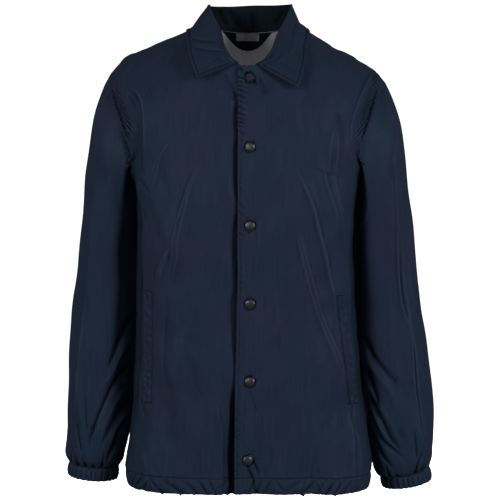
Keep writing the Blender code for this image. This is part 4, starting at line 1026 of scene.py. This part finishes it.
# Facing and inner stand: dull navy taffeta, drawn almost black: the cloth's own navy darkened by painted shade inside
# the neck.
facingClothShaded = wovenFinish("nylonTaffetaFacingShaded", "#0d1116", "#0a0d11", {"IOR": 1.50, "Specular IOR Level": 0.2},
                          dict(nylonWeave, rough=(0.60, 0.70)))
standClothShaded = wovenFinish("nylonTaffetaStandShaded", "#111822", "#0d131b", {"IOR": 1.50, "Specular IOR Level": 0.15},
                         dict(nylonWeave, rough=(0.58, 0.68)))
# Label: woven satin ribbon, its long floats glossy in slanting streaks; its pale ribbon is drawn grey, partly painted
# shade inside the neck.
labelCloth = wovenFinish("polyesterSatinRibbon", "#767478", "#59575b",
                         {"IOR": 1.55, "Sheen Weight": 0.2, "Sheen Roughness": 0.3},
                         dict(nylonWeave, cloud=9, thread=0.6, crinkle=4, rough=(0.28, 0.42)))


def threadFinish():
    # Polyester core-spun thread: two plies twisted, darker and duller than the cloth it sinks into.
    made, tree, principled = newFinish("polyesterThreadSpun", {"IOR": 1.55, "Specular IOR Level": 0.1})
    place = addNode(tree, "ShaderNodeTexCoord")
    twist = addNode(tree, "ShaderNodeTexWave", {"bands_direction": "DIAGONAL", "Scale": 0.314 / (0.5 * mm)},
                    {"Vector": (place, "Object")})
    tone = addNode(tree, "ShaderNodeValToRGB", links={"Fac": (twist, "Fac")})
    tone.color_ramp.elements[0].color, tone.color_ramp.elements[1].color = linear("#080b11"), linear("#111722")
    tree.links.new(tone.outputs["Color"], principled.inputs["Base Color"])
    rough = addNode(tree, "ShaderNodeMapRange", {"To Min": 0.5, "To Max": 0.7}, {"Value": (twist, "Fac")})
    tree.links.new(rough.outputs["Result"], principled.inputs["Roughness"])
    return made


def snapFinish():
    # Brass snap, gunmetal plated and tumbled: grey metal, mottled in two close tones with soft rubbing.
    made, tree, principled = newFinish("brassGunmetalPlated", {"Metallic": 1.0})
    place = addNode(tree, "ShaderNodeTexCoord")
    rub = addNode(tree, "ShaderNodeTexNoise", {"Scale": 1 / (2.5 * mm), "Detail": 5.0}, {"Vector": (place, "Object")})
    tone = addNode(tree, "ShaderNodeValToRGB", links={"Fac": (rub, "Fac")})
    tone.color_ramp.elements[0].color, tone.color_ramp.elements[1].color = linear("#a8abb9"), linear("#bcbfcc")
    tree.links.new(tone.outputs["Color"], principled.inputs["Base Color"])
    rough = addNode(tree, "ShaderNodeMapRange", {"To Min": 0.34, "To Max": 0.44}, {"Value": (rub, "Fac")})
    tree.links.new(rough.outputs["Result"], principled.inputs["Roughness"])
    return made


thread, gunmetal = threadFinish(), snapFinish()


# Pieces

def newPiece(name, points, faces, looks, slotOf=None, sharp=60):
    mesh = bpy.data.meshes.new(name)
    mesh.from_pydata(points.tolist(), [], faces)
    for look in looks:
        mesh.materials.append(look)
    if slotOf is not None:
        mesh.polygons.foreach_set("material_index", slotOf.astype(np.int32))
    mesh.shade_smooth()
    mesh.set_sharp_from_angle(angle=math.radians(sharp))
    piece = bpy.data.objects.new(name, mesh)
    bpy.context.scene.collection.objects.link(piece)
    return piece


ridgeShadeLook = {"from": 0.06, "over": 0.5, "ridge": 0.2, "valley": 0.8}  # mm where a ridge starts to tell and tells fully, then by how much ridges are painted paler (painted highlight) and valleys darker (painted shade)


def quadsOf(index):
    return np.stack([index[:-1, :-1], index[:-1, 1:], index[1:, 1:], index[1:, :-1]], axis=-1).reshape(-1, 4)


def valleyDepth(outer, normal, closed):
    # How far each point lies under its neighbours, and the most of that close by.
    depth = np.zeros(outer.shape[:2])
    for axis in (0, 1):
        sag = ((np.roll(outer, 1, axis) + np.roll(outer, -1, axis)) / 2 - outer) * normal
        sag = np.maximum(sag.sum(axis=2), 0.0)
        if axis == 0 or not closed:
            edge = [slice(None)] * 2
            edge[axis] = [0, -1]
            sag[tuple(edge)] = 0.0
        depth += sag
    for axis in (0, 1, 0, 1):
        depth = np.maximum(depth, np.maximum(np.roll(depth, 1, axis), np.roll(depth, -1, axis)))
    return np.minimum(depth, 0.003)


def ridgesOf(outer, normal, closed):  # how far each point stands over the cloth close by, in mm, less than nothing in valleys
    smooth = outer
    for _ in range(4):
        for axis in (0, 1):
            near = (np.roll(smooth, 1, axis) + 2 * smooth + np.roll(smooth, -1, axis)) / 4
            if axis == 0 or not closed:
                edge = [slice(None)] * 2
                edge[axis] = [0, -1]
                near[tuple(edge)] = smooth[tuple(edge)]
            smooth = near
    return ((outer - smooth) * normal).sum(axis=2) / mm


def shell(name, outer, normal, thick, looks, closed=False, step=2, turnedIn=(0, 0), paintedLight=0.0, ridgeShade=ridgeShadeLook):
    # Thin closed cloth: the outer grid, a plainer grid inside with every second point, and a rim between them.
    # turnedIn counts the columns at each end, on a tube the rows, that are faced inside and show the right side.
    rows, columns = outer.shape[:2]
    thick = (thick + 2.0 * valleyDepth(outer, normal, closed))[:, :, None]
    keptRows, keptColumns = (sorted(set(range(0, count, step)) | {count - 1}) for count in (rows, columns))
    if closed:
        keptColumns = list(range(0, columns, step))
    within = (outer - normal * thick)[keptRows][:, keptColumns]
    points = np.concatenate([outer.reshape(-1, 3), within.reshape(-1, 3)])
    index = np.arange(rows * columns).reshape(rows, columns)
    inside = rows * columns + np.arange(within.shape[0] * within.shape[1]).reshape(within.shape[:2])
    if closed:
        index, inside = (np.concatenate([each, each[:, :1]], axis=1) for each in (index, inside))
        keptColumns.append(columns)
    skin, lining = quadsOf(index), quadsOf(inside)[:, ::-1]
    borders = [(index[0], inside[0], keptColumns, True), (index[-1], inside[-1], keptColumns, False)]
    if not closed:
        borders += [(index[:, 0], inside[:, 0], keptRows, False), (index[:, -1], inside[:, -1], keptRows, True)]
    rims = []
    for edge, lined, kept, turned in borders:
        for k in range(len(kept) - 1):
            rim = edge[kept[k]:kept[k + 1] + 1].tolist() + [int(lined[k + 1]), int(lined[k])]
            rims.append(rim[::-1] if turned else rim)
    faces = skin.tolist() + lining.tolist() + rims
    middle = skin[len(skin) // 2]
    p = points[middle]
    if np.cross(p[1] - p[0], p[3] - p[0]) @ normal.reshape(-1, 3)[middle[0]] < 0:
        faces = [face[::-1] for face in faces]
    slotOf = np.zeros(len(faces), int)
    wrong = np.full((inside.shape[0] - 1, inside.shape[1] - 1), len(looks) - 1)
    faced = wrong if closed else wrong.T
    faced[:turnedIn[0]] = faced[len(faced) - turnedIn[1]:] = 0
    slotOf[len(skin):len(skin) + len(lining)] = wrong.ravel()
    piece = newPiece(name, points, faces, looks, slotOf)
    uv = np.stack([runOf(outer, 1), runOf(outer, 0)], axis=-1)
    uv = np.concatenate([uv.reshape(-1, 2), uv[keptRows][:, [k for k in keptColumns if k < columns]].reshape(-1, 2)])
    # Ridges of the cloth are painted paler as painted highlight and its valleys darker as painted shade, added to the
    # painted crease light.
    ridges = ridgesOf(outer, normal, closed)
    ridges = np.sign(ridges) * np.clip((np.abs(ridges) - ridgeShade["from"]) / ridgeShade["over"], 0, 1)
    paintedTone = paintedLight + np.where(ridges > 0, ridgeShade["ridge"], ridgeShade["valley"]) * ridges
    paintedTone = np.concatenate([paintedTone.ravel(), np.zeros(len(points) - paintedTone.size)]).astype(np.float32)
    piece.data.attributes.new("paintedLight", "FLOAT", "POINT").data.foreach_set("value", paintedTone)
    loops = np.zeros(len(piece.data.loops), np.int32)
    piece.data.loops.foreach_get("vertex_index", loops)
    piece.data.uv_layers.new(name="clothGrid").data.foreach_set("uv", uv[loops].astype(np.float32).ravel())
    return piece


def dress(piece, node):
    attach(piece, "root")
    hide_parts(node)
    return piece


made = {}
for side in sides:
    made["front_" + side] = shell("front_%s_cloth" % side, fronts[side], frontNormals[side], bodyForm["cloth"], [nylon, nylonInside],
                                  turnedIn=(26, 12), paintedLight=frontPaintedLight[side])
    normal = normalsOf(sleeves[side], -sides[side], closed=True)
    made["sleeve_" + side] = shell("sleeve_%s_cloth" % side, sleeves[side], normal, bodyForm["cloth"], [nylon, nylonInside],
                                   closed=True, turnedIn=(12, 0), paintedLight=sleevePaintedLight[side], ridgeShade=dict(ridgeShadeLook, over=0.4, valley=1.0))
    normal = normalsOf(cuffs[side], -sides[side], closed=True)
    made["cuff_" + side] = shell("cuff_%s_casing" % side, cuffs[side], normal, cuffLook["cloth"], [nylon], closed=True)
    normal = normalsOf(welts[side], -sides[side])
    made["pocket_welt_" + side] = shell("pocket_welt_%s_cloth" % side, welts[side], normal, weltLook["cloth"], [nylon],
                                        ridgeShade=dict(ridgeShadeLook, valley=0.6))
made["back"] = shell("back_cloth", back, backNormals, bodyForm["cloth"], [nylon, nylonInside], turnedIn=(6, 6))
for name, outward in (("front_right", 1.0), ("front_left", -1.0), ("back", 1.0)):
    dark = 0.0
    if name == "front_left":  # painted shade down the crease dragged from the lowest snap, a dark line across the casing
        deepest, rows = np.argmax(hems[name][0, :36, 1]), np.arange(len(hems[name]))[:, None]
        dark = -1.0 * np.exp(-((np.arange(hems[name].shape[1]) - deepest - 5.0 * rows / len(rows)) / 1.2) ** 2)
    made["hem_" + name] = shell("hem_%s_casing" % name, hems[name], normalsOf(hems[name], outward), hemLook["cloth"], [nylon],
                                paintedLight=dark, ridgeShade=dict(ridgeShadeLook, over=0.7, valley=0.65))
made["collar"] = shell("collar_cloth", collar, normalsOf(collar, 1.0), collarForm["cloth"], [nylon, standClothShaded, nylon],
                       ridgeShade=dict(ridgeShadeLook, ridge=0.1))
# The stand's side towards the neck takes the darker copy of the navy: painted shade.
inner = np.zeros(len(made["collar"].data.polygons), np.int32)
inner[:(collarForm["standRows"] + 2) * (collarForm["columns"] - 1)] = 1  # the stand's side towards the neck
made["collar"].data.polygons.foreach_set("material_index", inner)
made["neck_facing"] = shell("neck_facing_cloth", facing, normalsOf(facing, -1.0), neckLook["cloth"], [facingClothShaded])
made["neck_label"] = shell("neck_label_ribbon", label, normalsOf(label, -1.0), neckLook["cloth"], [labelCloth])
for node, piece in made.items():
    dress(piece, node)
print("cloth: %d pieces" % len(made))

# Snaps: a domed cap with a rolled rim, set in the over front where the solid cap is

snapLook = {"radius": 0.0079, "height": 0.0031, "segments": 56}


def snapCap(number, spot):
    look = snapLook
    profile = [(0.0, 1.0), (0.2, 0.985), (0.4, 0.94), (0.58, 0.87), (0.72, 0.78), (0.82, 0.67), (0.89, 0.54), (0.94, 0.40),
               (0.98, 0.24), (1.0, 0.08), (0.97, 0.0), (0.0, 0.0)]
    tree = frontTree
    hit, normal, _, _ = tree.ray_cast(Vector((spot.x, -1.0, spot.z)), Vector((0.0, 1.0, 0.0)))
    tilt = {1: Vector((0.12, 0.0, 0.45)), 6: Vector((0.06, 0.0, -0.04))}.get(number, Vector())
    axis = (normal * 0.35 + Vector((0, -0.65, 0)) + tilt).normalized()
    turn = axis.to_track_quat("Z", "Y").to_matrix()
    angles = np.linspace(0, 2 * math.pi, look["segments"], endpoint=False)
    points, faces = [], []
    for radius, height in profile[1:-1]:
        for angle in angles:
            points.append(turn @ Vector((radius * look["radius"] * math.cos(angle),
                                         radius * look["radius"] * math.sin(angle), height * look["height"])) + spot)
    points += [turn @ Vector((0, 0, profile[0][1] * look["height"])) + spot, turn @ Vector((0, 0, 0)) + spot]
    count, rings = look["segments"], len(profile) - 2
    for step in range(count):
        after = (step + 1) % count
        faces.append([rings * count, step, after, after])
        faces.append([rings * count + 1, (rings - 1) * count + after, (rings - 1) * count + step, (rings - 1) * count + step])
        for ring in range(rings - 1):
            base = ring * count
            faces.append([base + step, base + count + step, base + count + after, base + after])
    faces = [list(dict.fromkeys(face)) for face in faces]
    mesh = bpy.data.meshes.new("snap_cap_%d_metal" % number)
    mesh.from_pydata([tuple(point) for point in points], [], faces)
    mesh.materials.append(gunmetal)
    mesh.shade_smooth()
    mesh.set_sharp_from_angle(angle=math.radians(50))
    piece = bpy.data.objects.new(mesh.name, mesh)
    bpy.context.scene.collection.objects.link(piece)
    return piece


frontTree = surfaceTree([(fronts["left"], 1)])
for number, spot in enumerate(snapSpots, start=1):
    hit = frontTree.ray_cast(Vector((spot.x, -1.0, spot.z)), Vector((0.0, 1.0, 0.0)))[0]
    dress(snapCap(number, Vector((spot.x, hit.y - 0.0004, spot.z))), "snap_cap_%d" % number)
    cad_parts["snap_stud_%d" % number].data.materials.clear()
    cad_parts["snap_stud_%d" % number].data.materials.append(gunmetal)
print("snaps: %d caps" % len(snapSpots))

# Sewing: short raised stitches, sunk a little in the cloth

stitchLook = {"length": 2.6, "gap": 0.9, "radius": 0.45, "flat": 0.6}  # drawn twice as thick as real thread, so that it shows


def insetLine(grid, edge, inset, first=0.0, last=1.0):
    # The line that runs at one distance inside an edge of a grid.
    far = edgeRun(grid, edge)
    line = []
    if edge in ("start", "end"):
        rows = range(int(first * (len(grid) - 1)), int(last * (len(grid) - 1)) + 1)
        pairs = [(far[row], grid[row]) for row in rows]
    else:
        columns = range(int(first * (grid.shape[1] - 1)), int(last * (grid.shape[1] - 1)) + 1)
        pairs = [(far[:, column], grid[:, column]) for column in columns]
    for away, points in pairs:
        if away[0] > away[-1]:
            away, points = away[::-1], points[::-1]
        line.append([np.interp(inset, away, points[:, axis]) for axis in range(3)])
    return np.array(line)


def sewn(name, lines, look=stitchLook):
    points, faces = [], []
    pitch, length = (look["length"] + look["gap"]) * mm, look["length"] * mm
    for line, tree in lines:
        steps = np.linalg.norm(np.diff(line, axis=0), axis=1)
        count = int(steps.sum() / pitch)
        if count < 1:
            continue
        whole = steps.sum()
        starts = np.arange(count) * pitch / whole
        heads, tails = pointsAt(line, starts), pointsAt(line, np.minimum(starts + length / whole, 1.0))
        for head, tail in zip(heads, tails):
            middle = (head + tail) / 2
            spot, up, _, _ = tree.find_nearest(Vector(middle))
            up = np.array(up)
            way = unit(tail - head)
            side = unit(np.cross(way, up))
            first = len(points)
            for share, swell in ((-0.5, 0.25), (-0.3, 1.0), (0.3, 1.0), (0.5, 0.25)):
                centre = middle + way * share * length + up * (0.12 * mm)
                for angle in (0.0, 0.5, 1.0, 1.5):
                    turn = angle * math.pi
                    offset = side * math.cos(turn) + up * math.sin(turn) * look["flat"]
                    points.append(centre + offset * look["radius"] * mm * swell)
            for ring in range(3):
                for step in range(4):
                    base, after = first + ring * 4, (step + 1) % 4
                    faces.append([base + step, base + after, base + 4 + after, base + 4 + step])
            faces.append([first + 3, first + 2, first + 1, first])
            faces.append([first + 12, first + 13, first + 14, first + 15])
    piece = newPiece(name, np.array(points), faces, [thread], sharp=80)
    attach(piece, "root")
    return piece


trees = {node: surfaceTree([(grid, turn)]) for node, grid, turn in (
    ("front_left", fronts["left"], 1), ("front_right", fronts["right"], -1), ("back", back, -1), ("collar", collar, 1),
    ("welt_left", welts["left"], -1), ("welt_right", welts["right"], 1))}
first = bodyForm["rowsBelow"] / (len(back) - 1)
seams = {
    "front_left": [("start", 5.0, 0.0, 1.0), ("end", 8.0, first, 1.0), ("bottom", 1.6, 0.0, 1.0)],
    "front_right": [("end", 8.0, first, 1.0), ("bottom", 1.6, 0.0, 1.0)],
    "back": [("start", 8.0, first, 1.0), ("end", 8.0, first, 1.0), ("bottom", 1.6, 0.0, 1.0)],
}
grids = {"front_left": fronts["left"], "front_right": fronts["right"], "back": back}
stitching = {}
for node, lines in seams.items():
    stitching[node] = sewn("stitching_" + node, [(insetLine(grids[node], edge, inset * mm, start, stop), trees[node])
                                                for edge, inset, start, stop in lines])
inset = collarLook["stitchInset"] * mm
fallFirst = (collarForm["standRows"] + 9) / (len(collar) - 1)
columnInset = inset / runOf(collar, 1)[-1, -1]
rowInset = inset / (runOf(collar, 0)[-1, 0] + 1e-9)
stitching["collar"] = sewn("stitching_collar", [
    (insetLine(collar, "start", inset, fallFirst, 1 - rowInset), trees["collar"]),
    (insetLine(collar, "top", inset, columnInset, 1 - columnInset), trees["collar"]),
    (insetLine(collar, "end", inset, fallFirst, 1 - rowInset), trees["collar"])])
for side in sides:
    tree = trees["welt_" + side]
    lines = [(insetLine(welts[side], edge, 1.6 * mm), tree) for edge in ("start", "end")]
    stitching["welt_" + side] = sewn("stitching_welt_" + side, lines, dict(stitchLook, radius=0.25))
    lines = [(insetLine(welts[side], edge, step * mm), tree) for edge in ("top", "bottom") for step in (0.6, 1.3)]
    stitching["tack_" + side] = sewn("stitching_tack_" + side, lines)
print("sewing: %d lines of stitches" % len(stitching))

# Stage: a pale sweep all round, soft lights, and the camera where the photograph was taken from

stageLook = {"floorDrop": 0.62, "floorRadius": 5.0, "wallHeight": 6.0, "colour": "#f6f6f6", "glow": 0.92}
lightLook = (  # name, place, aim, width, height, watts, and whether it lights the cloth itself or only gleams on it
    ("leftBox", (-2.0, -2.6, 0.2), (0.0, 0.0, -0.48), 0.7, 0.8, 50, True),
    ("rightBox", (2.1, -2.5, 0.1), (0.0, 0.0, -0.48), 0.7, 0.8, 61, True),
    ("frontBox", (0.0, -3.2, 0.8), (0.0, 0.0, -0.20), 0.8, 0.8, 12, True),
    ("leftStrip", (-2.4, -1.9, 0.35), (0.0, 0.0, -0.36), 0.3, 1.6, 5.5, False),
    ("rightStrip", (2.4, -1.9, 0.3), (0.0, 0.0, -0.40), 0.3, 1.6, 6.5, False),
    ("smallGleam", (-0.9, -3.0, 0.5), (0.0, 0.0, -0.38), 0.7, 0.7, 2.6, False),
    ("neckFill", (0.0, -0.035, -0.19), (-0.004, 0.062, -0.055), 0.10, 0.05, 0.055, True),  # inside, so the neck isn't a dark hole
    ("leftSide", (-3.2, 0.9, 0.4), (0.0, 0.0, -0.40), 1.2, 1.6, 34, True),
    ("rightSide", (3.2, 0.9, 0.4), (0.0, 0.0, -0.40), 1.2, 1.6, 34, True),
    ("backLight", (0.4, 3.4, 0.6), (0.0, 0.0, -0.35), 1.8, 1.8, 84, True),
)
cameraLook = {"place": (0.0, -2.2, -0.242), "aim": (0.0, 0.0, -0.374), "pixel": 0.00165, "frame": 500, "sensor": 36.0}


def stageFloor():
    made, tree, principled = newFinish("studioPaperPale", {"Base Color": linear(stageLook["colour"]), "Roughness": 0.9,
                                                           "Emission Strength": stageLook["glow"],
                                                           "Emission Color": linear("#ffffff")})
    profile = [(0.0, 0.0), (stageLook["floorRadius"] * 0.7, 0.0)]
    bend = stageLook["floorRadius"] * 0.3
    for angle in np.linspace(0, math.pi / 2, 9)[1:]:
        profile.append((stageLook["floorRadius"] * 0.7 + bend * math.sin(angle), bend * (1 - math.cos(angle))))
    profile.append((stageLook["floorRadius"], stageLook["wallHeight"]))
    base, count = cadLow.z - stageLook["floorDrop"], 64
    turn = np.linspace(0, 2 * math.pi, count, endpoint=False)
    points = [(0.0, 0.0, base)] + [(r * math.cos(t), r * math.sin(t), base + h) for r, h in profile[1:] for t in turn]
    faces = [(0, 1 + k, 1 + (k + 1) % count) for k in range(count)]
    for ring in range(len(profile) - 2):
        offset = 1 + ring * count
        faces += [(offset + k, offset + count + k, offset + count + (k + 1) % count, offset + (k + 1) % count) for k in range(count)]
    mesh = bpy.data.meshes.new("floor_sweep")
    mesh.from_pydata(points, [], faces)
    mesh.materials.append(made)
    mesh.shade_smooth()
    floor = bpy.data.objects.new("floor_sweep", mesh)
    bpy.context.scene.collection.objects.link(floor)
    floor.visible_diffuse = floor.visible_glossy = floor.visible_shadow = False


stageFloor()
for name, place, aim, width, height, watts, lights in lightLook:
    lamp = bpy.data.lights.new(name, "AREA")
    lamp.shape, lamp.size, lamp.size_y, lamp.energy = "RECTANGLE", width, height, watts
    light = bpy.data.objects.new(name, lamp)
    light.location = place
    light.visible_camera, light.visible_diffuse, light.visible_glossy = False, lights, not lights
    light.rotation_euler = (Vector(aim) - Vector(place)).to_track_quat("-Z", "Y").to_euler()
    bpy.context.scene.collection.objects.link(light)
world = bpy.context.scene.world or bpy.data.worlds.new("studio")
bpy.context.scene.world = world
world.use_nodes = True
world.node_tree.nodes["Background"].inputs["Color"].default_value = (1, 1, 1, 1)
world.node_tree.nodes["Background"].inputs["Strength"].default_value = 0.025
bpy.context.scene.view_settings.view_transform = "Standard"
camera = bpy.data.objects.new("camera", bpy.data.cameras.new("camera"))
camera.location = cameraLook["place"]
ahead = Vector(cameraLook["aim"]) - Vector(cameraLook["place"])
camera.rotation_euler = ahead.to_track_quat("-Z", "Y").to_euler()
camera.data.sensor_width = cameraLook["sensor"]
camera.data.lens = cameraLook["sensor"] * ahead.length / (cameraLook["frame"] * cameraLook["pixel"])
bpy.context.scene.collection.objects.link(camera)
bpy.context.scene.camera = camera
print("stage, lights and camera set")
